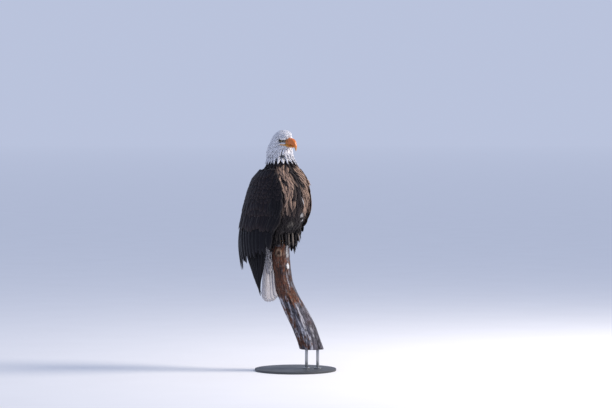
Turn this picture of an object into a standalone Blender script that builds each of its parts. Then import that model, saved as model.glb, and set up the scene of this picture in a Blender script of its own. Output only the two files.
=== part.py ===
"""A bald eagle at rest on the broken top of a dead trunk, on a plain display stand.

Metres, +Z up. The bird faces -Y, and its right side is at -X. The origin is the middle of the
base's underside. Heights of the bird are given above the top of the perch, where it stands.
"""

import math

import bmesh
import bpy
from mathutils import Matrix, Vector

GAP = 0.0005  # between pieces that meet

# Stand
BASE_RADIUS = 0.190
BASE_THICKNESS = 0.010
BASE_BEVEL = 0.0025
FLANGE_RADIUS = 0.017
FLANGE_THICKNESS = 0.005
ROD_RADIUS = 0.007
ROD_LENGTH = 0.085
ROD_SPACING = 0.052

# Perch: a leaning trunk, sawn level at its foot
PERCH_HEIGHT = 0.500
LEAN = Matrix.Rotation(math.radians(-42), 3, "Z") @ Vector((1, 0, 0))  # from its top to its foot
BIRD_SET_BACK = 0.078  # of the bird's own axis from the base's middle, against the lean
PERCH_FORWARD = 0.014  # of the perch's top before the bird's axis
# depth below the top, offset along the lean, radius
PERCH_STATIONS = (
    (0.000, 0.000, 0.0430),
    (0.080, 0.000, 0.0430),
    (0.160, 0.010, 0.0415),
    (0.230, 0.028, 0.0450),
    (0.290, 0.056, 0.0530),
    (0.370, 0.095, 0.0560),
    (0.440, 0.124, 0.0560),
    (0.500, 0.146, 0.0570),
)
PERCH_TOP = BASE_THICKNESS + FLANGE_THICKNESS + ROD_LENGTH + PERCH_HEIGHT + 3 * GAP

# The bird's axis stands over the perch, a little behind the middle of its top
BIRD = Matrix.Translation(Vector((-LEAN.x * BIRD_SET_BACK, -LEAN.y * BIRD_SET_BACK, PERCH_TOP)))
HEAD_YAW = math.radians(-4)  # the head looks a little to the bird's right
HEAD_MIDDLE = 0.026  # of the head before the bird's axis

# Head, neck and trunk: height, middle before the axis, half width, half depth, narrowing in front
BODY_STATIONS = (
    (0.5215, 0.040, 0.0000, 0.0000, 0.00),
    (0.5190, 0.039, 0.0160, 0.0190, 0.00),
    (0.5105, 0.038, 0.0295, 0.0350, 0.05),
    (0.4985, 0.035, 0.0400, 0.0460, 0.20),
    (0.4830, 0.028, 0.0460, 0.0530, 0.40),
    (0.4630, 0.021, 0.0495, 0.0580, 0.45),
    (0.4400, 0.012, 0.0570, 0.0610, 0.25),
    (0.4030, 0.009, 0.0640, 0.0660, 0.00),
    (0.3650, 0.019, 0.0730, 0.0780, 0.00),
    (0.3340, 0.014, 0.0980, 0.1010, 0.00),
    (0.2970, 0.010, 0.1150, 0.1310, 0.00),
    (0.2400, 0.007, 0.1240, 0.1520, 0.00),
    (0.1780, 0.002, 0.1250, 0.1620, 0.00),
    (0.1160, -0.005, 0.1180, 0.1480, 0.00),
    (0.0750, -0.011, 0.1040, 0.1260, 0.00),
    (0.0450, -0.016, 0.0800, 0.0960, 0.00),
    (0.0235, -0.014, 0.0480, 0.0600, 0.00),
    (0.0195, -0.014, 0.0000, 0.0000, 0.00),
)
HEAD_FOOT = 0.424
NECK_FOOT = 0.352

# Eye and brow, seen from the head's middle: forward, to the side, height
EYE = (0.030, 0.0260, 0.4730)
EYE_RADIUS = 0.0100
BROW_HEIGHT = 0.4855
BROW_DEPTH = 0.0045
SOCKET_DEPTH = 0.0075
SOCKET_REACH = 0.0135

# Bill, from its root to its tip: forward and height of its top line, of its lower line, half width
UPPER_BILL = (
    (0.0480, 0.4800, 0.0480, 0.4520, 0.0170),
    (0.0580, 0.4830, 0.0580, 0.4515, 0.0168),
    (0.0700, 0.4840, 0.0700, 0.4505, 0.0155),
    (0.0860, 0.4795, 0.0830, 0.4490, 0.0128),
    (0.1000, 0.4660, 0.0910, 0.4465, 0.0095),
    (0.1075, 0.4470, 0.0980, 0.4390, 0.0060),
    (0.1065, 0.4250, 0.1035, 0.4245, 0.0012),
)
LOWER_BILL = (
    (0.0480, 0.4510, 0.0480, 0.4420, 0.0140),
    (0.0580, 0.4502, 0.0580, 0.4405, 0.0135),
    (0.0700, 0.4490, 0.0700, 0.4392, 0.0118),
    (0.0830, 0.4472, 0.0820, 0.4395, 0.0085),
    (0.0890, 0.4450, 0.0890, 0.4420, 0.0025),
)

# Folded wing, as a sheet draped round the body: height, middle behind the axis, half width, half depth
WING_STATIONS = (
    (0.3500, -0.014, 0.0930, 0.0960),
    (0.3340, -0.013, 0.1030, 0.1060),
    (0.2970, -0.006, 0.1250, 0.1380),
    (0.2400, 0.000, 0.1380, 0.1620),
    (0.1780, 0.009, 0.1430, 0.1800),
    (0.1160, 0.026, 0.1430, 0.1800),
    (0.0540, 0.043, 0.1420, 0.1780),
    (0.0000, 0.052, 0.1390, 0.1780),
    (-0.0600, 0.053, 0.1270, 0.1760),
    (-0.1300, 0.053, 0.1110, 0.1640),
    (-0.1500, 0.053, 0.1060, 0.1600),
)
PRIMARY_STATIONS = (
    (0.0600, 0.040, 0.1210, 0.1520),
    (0.0000, 0.047, 0.1170, 0.1550),
    (-0.0600, 0.047, 0.1060, 0.1460),
    (-0.1300, 0.046, 0.0890, 0.1150),
    (-0.2000, 0.045, 0.0750, 0.0880),
    (-0.2620, 0.047, 0.0570, 0.0560),
)
WING_THICKNESS = 0.014
PRIMARY_THICKNESS = 0.006

# Tail: height, middle behind the axis, half width, and how far its sides curl forward
TAIL_STATIONS = (
    (0.0400, 0.084, 0.0300, 0.010),
    (-0.0500, 0.076, 0.0390, 0.011),
    (-0.1400, 0.074, 0.0450, 0.011),
    (-0.2200, 0.073, 0.0490, 0.010),
    (-0.2800, 0.072, 0.0520, 0.008),
)
TAIL_THICKNESS = 0.006
TAIL_FEATHERS = 6  # tips that show
TAIL_SCALLOP = 0.010
TAIL_ROUNDING = 0.022

# Soft feathers over the tail's root: height, middle behind the axis, half width, half depth
TAIL_COVERT_STATIONS = (
    (0.0500, 0.066, 0.0000, 0.0000),
    (0.0420, 0.068, 0.0350, 0.0260),
    (0.0000, 0.077, 0.0440, 0.0260),
    (-0.0550, 0.074, 0.0430, 0.0200),
    (-0.1100, 0.069, 0.0380, 0.0150),
    (-0.1350, 0.067, 0.0240, 0.0110),
    (-0.1450, 0.066, 0.0000, 0.0000),
)

# Feathered thigh, for the left side: height, to the side, middle behind the axis, half width, half depth
THIGH_STATIONS = (
    (0.1350, 0.052, -0.006, 0.0000, 0.0000),
    (0.1250, 0.053, -0.010, 0.0320, 0.0420),
    (0.0850, 0.057, -0.022, 0.0400, 0.0560),
    (0.0450, 0.056, -0.034, 0.0330, 0.0460),
    (0.0260, 0.062, -0.034, 0.0205, 0.0250),
    (-0.0040, 0.0710, -0.026, 0.0090, 0.0130),
    (-0.0280, 0.0700, -0.028, 0.0045, 0.0070),
    (-0.0330, 0.0700, -0.028, 0.0000, 0.0000),
)

# Foot, for the left side: the ankle's place and each toe's heading, reach and droop over the rim
ANKLE = (0.0250, -0.004, 0.017)
KNEE = (0.0400, 0.014, 0.026)
TARSUS_RADIUS = 0.0085
TOE_RADIUS = 0.0078
TOES = {  # heading from straight ahead, reach along the wood, drop of the last joint, length of claw
    "inner": (-13, 0.037, 0.010, 0.030),
    "middle": (8, 0.040, 0.014, 0.028),
    "outer": (27, 0.037, 0.012, 0.025),
    "hind": (176, 0.021, 0.012, 0.022),
}
CLAW_CURL = math.radians(100)
CLAW_RADIUS = 0.0052

COLOURS = {  # sRGB red, green, blue, then roughness and metallic
    "white_feather": (0.86, 0.87, 0.90, 0.75, 0.0),
    "brown_feather": (0.16, 0.12, 0.11, 0.75, 0.0),
    "flight_feather": (0.09, 0.08, 0.09, 0.60, 0.0),
    "bill_horn": (0.88, 0.52, 0.16, 0.35, 0.0),
    "foot_skin": (0.88, 0.66, 0.18, 0.55, 0.0),
    "claw_horn": (0.05, 0.05, 0.06, 0.30, 0.0),
    "eye": (0.80, 0.72, 0.40, 0.10, 0.0),
    "dead_wood": (0.42, 0.32, 0.27, 0.85, 0.0),
    "coated_steel": (0.80, 0.80, 0.79, 0.50, 0.0),
    "rod_steel": (0.60, 0.60, 0.61, 0.30, 1.0),
}


def clear_scene():
    for obj in list(bpy.data.objects):
        bpy.data.objects.remove(obj, do_unlink=True)


def new_collection(name):
    made = bpy.data.collections.new(name)
    bpy.context.scene.collection.children.link(made)
    return made


def material(name):
    if name in bpy.data.materials:
        return bpy.data.materials[name]
    *colour, roughness, metallic = COLOURS[name]
    made = bpy.data.materials.new(name)
    made.use_nodes = True
    shader = made.node_tree.nodes["Principled BSDF"]
    linear = [((c + 0.055) / 1.055) ** 2.4 if c > 0.04045 else c / 12.92 for c in colour]
    shader.inputs["Base Color"].default_value = (*linear, 1)
    shader.inputs["Roughness"].default_value = roughness
    shader.inputs["Metallic"].default_value = metallic
    return made


def spline(table, place):
    """The numbers at this place, counted in rows, on smooth curves through the table's rows."""
    row = min(int(place), len(table) - 2)
    t = place - row
    before, here, after, beyond = (
        table[max(0, min(len(table) - 1, row + step))] for step in (-1, 0, 1, 2)
    )
    return [
        b + 0.5 * t * (c - a + t * (2 * a - 5 * b + 4 * c - d + t * (3 * (b - c) + d - a)))
        for a, b, c, d in zip(before, here, after, beyond)
    ]


def place_at_height(table, height):
    """Where in the table, counted in rows, the height in its first column is reached."""
    low, high = 0.0, len(table) - 1.0
    for _ in range(30):
        middle = (low + high) / 2
        if spline(table, middle)[0] > height:
            low = middle
        else:
            high = middle
    return (low + high) / 2


def smooth_step(value, low, high):
    t = max(0.0, min(1.0, (value - low) / (high - low)))
    return t * t * (3 - 2 * t)


def bell(distance, reach):
    return math.exp(-((distance / reach) ** 2))


def finish(bm, name, colour, collection):
    """A smooth-shaded object of this mesh, with its faces pointing out. Its bent squares are
    halved first, so that every copy of it bends the same way."""
    bmesh.ops.triangulate(bm, faces=[face for face in bm.faces if len(face.verts) == 4])
    bmesh.ops.recalc_face_normals(bm, faces=bm.faces[:])
    if bm.calc_volume(signed=True) < 0:
        bmesh.ops.reverse_faces(bm, faces=bm.faces[:])
    mesh = bpy.data.meshes.new(name)
    bm.to_mesh(mesh)
    bm.free()
    mesh.materials.append(material(colour))
    mesh.shade_smooth()
    mesh.set_sharp_from_angle(angle=math.radians(40))
    obj = bpy.data.objects.new(name, mesh)
    collection.objects.link(obj)
    return obj


def shaped_sphere(segments, rings, place):
    """A ball whose points are moved to place(turn, share): turn is the angle round from the front,
    towards the left side, and share runs from 0 at the top pole to 1 at the bottom one."""
    bm = bmesh.new()
    bmesh.ops.create_uvsphere(bm, u_segments=segments, v_segments=rings, radius=1)
    for vert in bm.verts:
        share = math.acos(max(-1.0, min(1.0, vert.co.z))) / math.pi
        vert.co = place(math.atan2(vert.co.x, -vert.co.y), share)
    return bm


def shaped_sheet(across, along, thickness, place):
    """A grid moved to place(t, v), each from 0 to 1, and thickened towards the bird's axis."""
    bm = bmesh.new()
    bmesh.ops.create_grid(bm, x_segments=across, y_segments=along, size=0.5)
    for vert in bm.verts:
        vert.co = place(vert.co.x + 0.5, vert.co.y + 0.5)
    bm.normal_update()
    flat = Vector((1, 1, 0))
    outward = sum(f.normal.dot(f.calc_center_median() * flat) for f in bm.faces)
    if outward < 0:
        bmesh.ops.reverse_faces(bm, faces=bm.faces[:])
        bm.normal_update()
    bmesh.ops.solidify(bm, geom=bm.faces[:], thickness=thickness)
    return bm


def rounded(value, power):
    return math.copysign(abs(value) ** power, value)


def shaped_horn(table, segments, steps, power=0.85):
    """A closed horn whose rings stand on the top and lower lines that the table gives.
    A power under 1 makes its section boxy."""
    bm = bmesh.new()
    loops = []
    for step in range(steps + 1):
        top_f, top_z, low_f, low_z, half_width = spline(table, step * (len(table) - 1) / steps)
        middle = Vector((0, -(top_f + low_f) / 2, (top_z + low_z) / 2))
        up = Vector((0, -(top_f - low_f) / 2, (top_z - low_z) / 2))
        ring = bmesh.ops.create_circle(bm, segments=segments, radius=1)["verts"]
        for vert in ring:
            angle = math.atan2(vert.co.y, vert.co.x)
            out = Vector((half_width * rounded(math.cos(angle), power), 0, 0))
            vert.co = middle + up * rounded(math.sin(angle), power) + out
        loops.append(ring)
    for ring, after in zip(loops, loops[1:]):
        edges = {edge for vert in ring + after for edge in vert.link_edges}
        inside = set(ring) | set(after)
        bmesh.ops.bridge_loops(bm, edges=[e for e in edges if set(e.verts) <= inside])
    for ring in (loops[0], loops[-1]):
        bmesh.ops.contextual_create(bm, geom=ring)
    return bm


def shaped_tube(points, radii, segments=7):
    """A closed tube through the points, with a radius at each. Its rings turn with its middle
    line and never roll about it, even where it passes upright."""
    bm = bmesh.new()
    loops = []
    before = points[1] - points[0]
    turn = before.to_track_quat("Z", "X")
    for i, (point, radius) in enumerate(zip(points, radii)):
        ahead = points[min(i + 1, len(points) - 1)] - points[max(i - 1, 0)]
        turn = before.rotation_difference(ahead) @ turn
        before = ahead
        where = Matrix.Translation(point) @ turn.to_matrix().to_4x4()
        loops.append(
            bmesh.ops.create_circle(bm, segments=segments, radius=radius, matrix=where)["verts"]
        )
    for ring, after in zip(loops, loops[1:]):
        for k, vert in enumerate(ring):
            bm.faces.new((vert, ring[k - 1], after[k - 1], after[k]))
    for ring in (loops[0], loops[-1]):
        bmesh.ops.contextual_create(bm, geom=ring)
    return bm


def keep_between(bm, low=None, high=None):
    """Cuts away what lies below low or above high, and closes the cuts."""
    for height, up in ((high, 1), (low, -1)):
        if height is None:
            continue
        geom = bm.verts[:] + bm.edges[:] + bm.faces[:]
        cut = bmesh.ops.bisect_plane(
            bm, geom=geom, plane_co=(0, 0, height), plane_no=(0, 0, up), clear_outer=True
        )["geom_cut"]
        edges = [item for item in cut if isinstance(item, bmesh.types.BMEdge)]
        bmesh.ops.edgeloop_fill(bm, edges=edges)
    return bm


def cutter_of(obj, margin=GAP):
    """The whole shape of a piece, swollen by a margin, to cut room for it in its neighbours."""
    cutter = bpy.data.objects.new(obj.name + "_cutter", obj.data.copy())
    cutter.matrix_world = obj.matrix_world
    cutter.hide_render = True
    cutter.display_type = "WIRE"
    CUTTERS.objects.link(cutter)
    swell = cutter.modifiers.new("Swell", "DISPLACE")
    swell.strength = margin
    swell.mid_level = 0
    return cutter


def cut_away(obj, *others):
    """Takes the room of the other pieces, and a gap round them, out of this one."""
    for other in others:
        cut = obj.modifiers.new("Room_for_" + other.name, "BOOLEAN")
        cut.operation = "DIFFERENCE"
        cut.object = CUTTER_BY_NAME.setdefault(other.name, None) or cutter_of(other)
        CUTTER_BY_NAME[other.name] = cut.object


def put(obj, matrix=BIRD):
    obj.matrix_world = matrix
    return obj


def head_turn(height):
    """How far the section at this height is turned: none on the trunk, all of it on the head."""
    return Matrix.Rotation(HEAD_YAW * smooth_step(height, 0.365, 0.440), 3, "Z")


def face_relief(forward, height):
    """How far the side of the face stands out: the brow's ridge, and the hollow round the eye."""
    along_brow = smooth_step(forward, 0.002, 0.020) * (1 - smooth_step(forward, 0.048, 0.060))
    brow = BROW_DEPTH * bell(height - BROW_HEIGHT, 0.006) * along_brow
    to_eye = math.hypot(forward - EYE[0], height - EYE[2] + 0.001)
    return brow - SOCKET_DEPTH * bell(to_eye, SOCKET_REACH)


def body_point(turn, share):
    row = share * (len(BODY_STATIONS) - 1)
    height, middle, half_width, half_depth, narrowing = spline(BODY_STATIONS, row)
    in_front = max(0.0, math.cos(turn))
    side = half_width * math.sin(turn) * (1 - narrowing * in_front**1.5)
    ahead = middle + half_depth * math.cos(turn)
    if height > HEAD_FOOT:
        relief = face_relief(ahead - HEAD_MIDDLE, height) * smooth_step(abs(side), 0.010, 0.025)
        side += math.copysign(relief, side)
    return head_turn(height) @ Vector((side, -ahead, height))


def make_head():
    bm = keep_between(shaped_sphere(28, 42, body_point), low=HEAD_FOOT + GAP)
    return put(finish(bm, "head", "white_feather", PARTS))


def make_neck():
    bm = keep_between(shaped_sphere(20, 32, body_point), low=NECK_FOOT + GAP, high=HEAD_FOOT)
    return put(finish(bm, "neck", "white_feather", PARTS))


def make_trunk():
    bm = keep_between(shaped_sphere(20, 26, body_point), high=NECK_FOOT)
    return put(finish(bm, "trunk", "brown_feather", PARTS))


def make_eye(side, sign):
    bm = bmesh.new()
    bmesh.ops.create_uvsphere(bm, u_segments=10, v_segments=7, radius=EYE_RADIUS)
    centre = Vector((sign * EYE[1], -(HEAD_MIDDLE + EYE[0]), EYE[2]))
    bmesh.ops.translate(bm, vec=centre, verts=bm.verts[:])
    bmesh.ops.rotate(bm, matrix=Matrix.Rotation(HEAD_YAW, 3, "Z"), verts=bm.verts[:])
    return put(finish(bm, "eye_" + side, "eye", PARTS))


def make_horn(name, table, segments, steps, power=0.85):
    bm = shaped_horn(table, segments, steps, power)
    bmesh.ops.translate(bm, vec=(0, -HEAD_MIDDLE, 0), verts=bm.verts[:])
    bmesh.ops.rotate(bm, matrix=Matrix.Rotation(HEAD_YAW, 3, "Z"), verts=bm.verts[:])
    return put(finish(bm, name, "bill_horn", PARTS))


def drape(table, row, angle, sign):
    """A point of the folded wing: angle is counted round from the front, in degrees."""
    height, behind, half_width, half_depth = spline(table, row)
    turn = math.radians(angle)
    return Vector((sign * half_width * math.sin(turn), behind - half_depth * math.cos(turn), height))


def scallop(t, count, depth):
    """The drop of the tips of this many feathers side by side."""
    return depth * (1 - abs(2 * ((t * count) % 1) - 1) ** 2.2)


def wing_patch(table, top, low, front, back):
    """place(t, v, sign) of the part of a draped wing between two heights, from its front edge to
    its back edge. Each limit is a function of how far back, or how far down, the point is."""

    def place(t, v, sign):
        height = top(t) + (low(t) - top(t)) * v
        row = place_at_height(table, height)
        ahead = front(height, sign)
        return drape(table, row, ahead + (back(height) - ahead) * t, sign)

    return place


def wing_front(height, sign):
    """The front edge's angle: down beside the breast to the wrist, then swept back. The right wing
    hangs a little loose, and the left one is tucked up."""
    above = 60 - 19 * smooth_step(0.345 - height, 0.0, 0.08)
    if sign < 0:
        return above + 12 * smooth_step(0.135 - height, 0.0, 0.16)
    tuck = 22 * smooth_step(0.132 - height, 0.0, 0.03)
    return above + tuck + 24 * smooth_step(0.100 - height, 0.0, 0.13)


def wing_back(height):
    return 150 + 25 * smooth_step(0.345 - height, 0.0, 0.07) - 14 * smooth_step(-height, 0.02, 0.15)


def secondary_foot(t):
    return -0.028 - 0.094 * smooth_step(t, 0.0, 0.85) - scallop(t, 6, 0.016)


def primary_top(t):
    return -0.005 + 0.050 * smooth_step(t, 0.0, 0.5)


def primary_foot(t):
    return -0.238 + 0.150 * abs(t - 0.55) ** 1.5 - scallop(t, 5, 0.020)


def primary_front(height, sign):
    tuck = 40 * (1 - smooth_step(-height, 0.06, 0.17))
    return 51 + 46 * smooth_step(-height, 0.08, 0.29) + (tuck if sign > 0 else 0)


def primary_back(height):
    return 138 - 14 * smooth_step(-height, 0.0, 0.26)


def make_wing(side, sign):
    """The folded wing down to its secondaries, and the tips of its primaries under them."""
    sheets = {
        "wing_" + side: (
            wing_patch(WING_STATIONS, lambda t: 0.345, secondary_foot, wing_front, wing_back),
            (12, 9, WING_THICKNESS),
            "brown_feather",
        ),
        "primaries_" + side: (
            wing_patch(PRIMARY_STATIONS, primary_top, primary_foot, primary_front, primary_back),
            (10, 7, PRIMARY_THICKNESS),
            "flight_feather",
        ),
    }
    made = []
    for name, (place, (across, along, thickness), colour) in sheets.items():
        bm = shaped_sheet(
            across, along, thickness, lambda t, v, place=place: place(t, v, sign)
        )
        made.append(put(finish(bm, name, colour, PARTS)))
    wing, primaries = made
    cut_away(wing, primaries)
    return made


def tail_point(t, v):
    """A point of the tail's back: t from its right edge to its left, v from its root to its tips."""
    across = 2 * t - 1
    foot = TAIL_STATIONS[-1][0] + TAIL_ROUNDING * across**2
    foot += TAIL_SCALLOP - scallop(t, TAIL_FEATHERS, TAIL_SCALLOP)
    height = TAIL_STATIONS[0][0] + (foot - TAIL_STATIONS[0][0]) * v
    _, behind, half_width, curl = spline(TAIL_STATIONS, place_at_height(TAIL_STATIONS, height))
    return Vector((half_width * across, behind - curl * across**2, height))


def make_tail():
    bm = shaped_sheet(12, 5, TAIL_THICKNESS, tail_point)
    return put(finish(bm, "tail", "white_feather", PARTS))


def make_tail_coverts():
    def place(turn, share):
        row = share * (len(TAIL_COVERT_STATIONS) - 1)
        height, behind, half_width, half_depth = spline(TAIL_COVERT_STATIONS, row)
        return Vector(
            (half_width * math.sin(turn), behind - half_depth * math.cos(turn), height)
        )

    bm = shaped_sphere(10, 8, place)
    return put(finish(bm, "tail_coverts", "white_feather", PARTS))


def make_thigh(side, sign):
    def place(turn, share):
        row = share * (len(THIGH_STATIONS) - 1)
        height, out, behind, half_width, half_depth = spline(THIGH_STATIONS, row)
        return Vector(
            (
                sign * (out + half_width * math.sin(turn)),
                behind - half_depth * math.cos(turn),
                height,
            )
        )

    return put(finish(shaped_sphere(12, 12, place), "thigh_" + side, "brown_feather", PARTS))


def toe_route(name, sign):
    """The toe's middle line, from the ankle along the wood and over its rim."""
    heading, reach, drop, _ = TOES[name]
    turn = math.radians(heading)
    ahead = Vector((sign * math.sin(turn), -math.cos(turn), 0))
    ankle = Vector((sign * ANKLE[0], ANKLE[1], 0))
    route = [ankle - ahead * 0.003 + Vector((0, 0, TOE_RADIUS + 0.0010 * len(name)))]
    for share in (0.35, 0.7, 1.0):
        route.append(ankle + ahead * reach * share + Vector((0, 0, TOE_RADIUS + 0.0012)))
    route.append(ankle + ahead * (reach + 0.011) + Vector((0, 0, TOE_RADIUS - drop * 0.35)))
    return route, ahead


def make_foot(side, sign):
    """The bare shank and its four toes, melted into one body."""
    ankle = Vector((sign * ANKLE[0], ANKLE[1], ANKLE[2]))
    knee = Vector((sign * KNEE[0], KNEE[1], KNEE[2]))
    shank = shaped_tube(
        [ankle.lerp(knee, t) for t in (-0.12, 0.0, 0.4, 0.8, 1.0)],
        [TARSUS_RADIUS * k for k in (0.7, 1.15, 0.95, 1.0, 0.9)],
    )
    whole = finish(shank, "foot_" + side, "foot_skin", PARTS)
    for name in TOES:
        route, _ = toe_route(name, sign)
        radii = [TOE_RADIUS * k for k in (1.05, 1.0, 1.0, 0.95, 0.72)]
        toe = finish(shaped_tube(route, radii), f"toe_{side}_{name}", "foot_skin", CUTTERS)
        toe.hide_render = True
        toe.display_type = "WIRE"
        join = whole.modifiers.new("Join_" + name, "BOOLEAN")
        join.operation = "UNION"
        join.object = put(toe)
    return put(whole)


def make_claw(side, sign, name):
    """A hooked claw that leaves the end of its toe and turns down."""
    route, ahead = toe_route(name, sign)
    start = route[-1] + (route[-1] - route[-2]).normalized() * (GAP * 1.5)
    down = Vector((0, 0, -1))
    tilt = (route[-1] - route[-2]).normalized()
    sink = math.asin(max(-1.0, min(1.0, -tilt.z)))
    points, radii = [], []
    steps = 4
    at = start.copy()
    for i in range(steps + 1):
        t = i / steps
        points.append(at.copy())
        radii.append(CLAW_RADIUS * (1 - t) ** 0.8 + 0.0005)
        angle = sink + CLAW_CURL * t
        at += (ahead * math.cos(angle) + down * math.sin(angle)) * TOES[name][3] / steps
    bm = shaped_tube(points, radii, segments=6)
    return put(finish(bm, f"claw_{side}_{name}", "claw_horn", PARTS))


def perch_radius(turn, depth, radius):
    """The trunk's radius, with the ribs of its grain and two swellings of old knots."""
    ribs = 0.030 * math.sin(5 * turn + 3.0 * depth) + 0.022 * math.sin(9 * turn - 11.0 * depth)
    knots = sum(
        0.16 * bell(depth - at, 0.030) * bell(math.remainder(turn - where, math.tau), 0.45)
        for at, where in ((0.215, 2.4), (0.405, -1.9))
    )
    return radius * (1 + ribs + knots)


def make_perch():
    rings, segments = 14, 18
    bm = bmesh.new()
    loops = []
    for ring in range(rings + 1):
        depth, offset, radius = spline(PERCH_STATIONS, ring * (len(PERCH_STATIONS) - 1) / rings)
        loop = bmesh.ops.create_circle(bm, segments=segments, radius=1)["verts"]
        for vert in loop:
            turn = math.atan2(vert.co.y, vert.co.x)
            around = Vector((math.cos(turn), math.sin(turn), 0))
            break_off = 0.012 * abs(math.sin(1.5 * turn + 0.4)) if ring == 0 else 0.0
            vert.co = LEAN * offset + around * perch_radius(turn, depth, radius)
            vert.co.z = -depth - break_off
        loops.append(loop)
    for loop, after in zip(loops, loops[1:]):
        for k, vert in enumerate(loop):
            bm.faces.new((vert, after[k], after[k - 1], loop[k - 1]))
    bmesh.ops.contextual_create(bm, geom=loops[-1])
    inner = bmesh.ops.create_circle(bm, segments=segments, radius=PERCH_STATIONS[0][2] * 0.78)
    for k, vert in enumerate(inner["verts"]):
        bm.faces.new((loops[0][k], loops[0][k - 1], inner["verts"][k - 1], vert))
    bmesh.ops.contextual_create(bm, geom=inner["verts"])
    perch = finish(bm, "perch", "dead_wood", PARTS)
    return put(perch, BIRD @ Matrix.Translation((0, -PERCH_FORWARD, 0)))


def make_cylinder(name, radius, low, height, colour, middle=(0, 0), bevel=0.0, segments=36):
    bpy.ops.mesh.primitive_cylinder_add(
        vertices=segments,
        radius=radius,
        depth=height,
        location=(*middle, low + height / 2),
    )
    obj = bpy.context.object
    obj.name = name
    for owner in obj.users_collection:
        owner.objects.unlink(obj)
    PARTS.objects.link(obj)
    obj.data.materials.append(material(colour))
    obj.data.shade_smooth()
    obj.data.set_sharp_from_angle(angle=math.radians(40))
    if bevel:
        edge = obj.modifiers.new("Edge", "BEVEL")
        edge.width = bevel
        edge.segments = 1
    return obj


def make_stand():
    """A round steel base, and two rods on flanges that carry the foot of the perch."""
    make_cylinder("stand_base", BASE_RADIUS, 0, BASE_THICKNESS, "coated_steel", bevel=BASE_BEVEL)
    foot = LEAN * (PERCH_STATIONS[-1][1] - BIRD_SET_BACK) + Vector((0, -PERCH_FORWARD, 0))
    for name, sign in (("front", 1), ("back", -1)):
        middle = foot + LEAN * ROD_SPACING / 2 * sign
        low = BASE_THICKNESS + GAP
        make_cylinder(
            "stand_flange_" + name,
            FLANGE_RADIUS,
            low,
            FLANGE_THICKNESS,
            "rod_steel",
            (middle.x, middle.y),
            segments=16,
        )
        low += FLANGE_THICKNESS + GAP
        make_cylinder(
            "stand_rod_" + name,
            ROD_RADIUS,
            low,
            ROD_LENGTH,
            "rod_steel",
            (middle.x, middle.y),
            segments=16,
        )


def make_bill_room():
    """A cutter that takes the roots of both halves of the bill and the mouth between them."""
    table = [
        (above[0] - GAP, above[1], below[2] - GAP, below[3], above[4])
        for above, below in zip(UPPER_BILL[:3], LOWER_BILL[:3])
    ]
    room = make_horn("bill_room", table, 16, 3, 0.6)
    PARTS.objects.unlink(room)
    CUTTERS.objects.link(room)
    room.hide_render = True
    room.display_type = "WIRE"
    return room


def make_bird():
    head, neck, trunk = make_head(), make_neck(), make_trunk()
    upper = make_horn("bill_upper", UPPER_BILL, 14, 12)
    lower = make_horn("bill_lower", LOWER_BILL, 12, 6)
    tail = make_tail()
    tail_coverts = make_tail_coverts()
    cut_away(tail_coverts, trunk, tail)
    cut_away(head, make_bill_room())
    cut_away(trunk, tail)
    for side, sign in (("right", -1), ("left", 1)):
        cut_away(head, make_eye(side, sign))
        wing, primaries = make_wing(side, sign)
        thigh, foot = make_thigh(side, sign), make_foot(side, sign)
        cut_away(trunk, wing, thigh, foot)
        cut_away(thigh, foot)
        cut_away(thigh, wing)
        cut_away(tail_coverts, wing, primaries)
        for name in TOES:
            make_claw(side, sign, name)


clear_scene()
PARTS = new_collection("bald_eagle")
CUTTERS = new_collection("cutters")
CUTTER_BY_NAME = {}
make_stand()
make_perch()
make_bird()
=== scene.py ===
"""The looks of a life-size bald eagle at rest on the broken top of a dead trunk.

Metres, +Z up. The bird faces -Y and its right side is at -X. Places on the bird are counted from
its own axis where it meets the perch's top: x to its left, y behind it, z up.
"""

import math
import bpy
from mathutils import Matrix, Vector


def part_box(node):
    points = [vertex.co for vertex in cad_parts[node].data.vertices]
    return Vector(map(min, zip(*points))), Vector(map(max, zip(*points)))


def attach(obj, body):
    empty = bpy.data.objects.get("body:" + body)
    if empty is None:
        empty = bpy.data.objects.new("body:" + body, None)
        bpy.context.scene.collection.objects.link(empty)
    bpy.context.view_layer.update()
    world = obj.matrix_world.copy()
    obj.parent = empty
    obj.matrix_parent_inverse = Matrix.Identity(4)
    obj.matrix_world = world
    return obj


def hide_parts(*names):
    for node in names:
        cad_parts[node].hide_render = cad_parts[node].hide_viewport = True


bl_info = {
    "name": "Bald Eagle on a Dead Trunk",
    "version": (1, 0, 0),
    "blender": (4, 5, 0),
    "location": "3D View > Sidebar > Eagle",
    "description": "Skin, feathers, bill, eyes, feet, perch and stand of a still bald eagle",
    "category": "Object",
}

from contextlib import contextmanager

import bpy
import numpy as np
from mathutils import Matrix, Vector, noise
from mathutils.bvhtree import BVHTree

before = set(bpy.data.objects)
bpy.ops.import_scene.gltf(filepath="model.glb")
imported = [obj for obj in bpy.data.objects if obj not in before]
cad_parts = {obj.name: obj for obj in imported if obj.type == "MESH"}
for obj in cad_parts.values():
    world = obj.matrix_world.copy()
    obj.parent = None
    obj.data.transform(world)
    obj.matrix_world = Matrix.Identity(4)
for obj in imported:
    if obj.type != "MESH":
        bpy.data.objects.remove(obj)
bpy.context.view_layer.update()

# The bird's axis stands off the base's middle, against the lean of the trunk
BODY_YAW = math.radians(-42)
SET_BACK = 0.078
BIRD = Vector(
    (-math.cos(BODY_YAW) * SET_BACK, -math.sin(BODY_YAW) * SET_BACK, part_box("perch")[1].z)
)
AT = np.array(BIRD)
HEAD_YAW = math.radians(-4)
HEAD_MIDDLE = 0.026  # of the head before the bird's axis
WING_AXIS = Vector((0.0, 0.030, 0.0))  # the wings are draped round this upright line

SIDES = (("right", -1), ("left", 1))
FLESH = (
    "head", "neck", "trunk", "wing_right", "wing_left", "thigh_right", "thigh_left", "tail_coverts",
)
TOES = ("inner", "middle", "outer", "hind")

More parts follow.
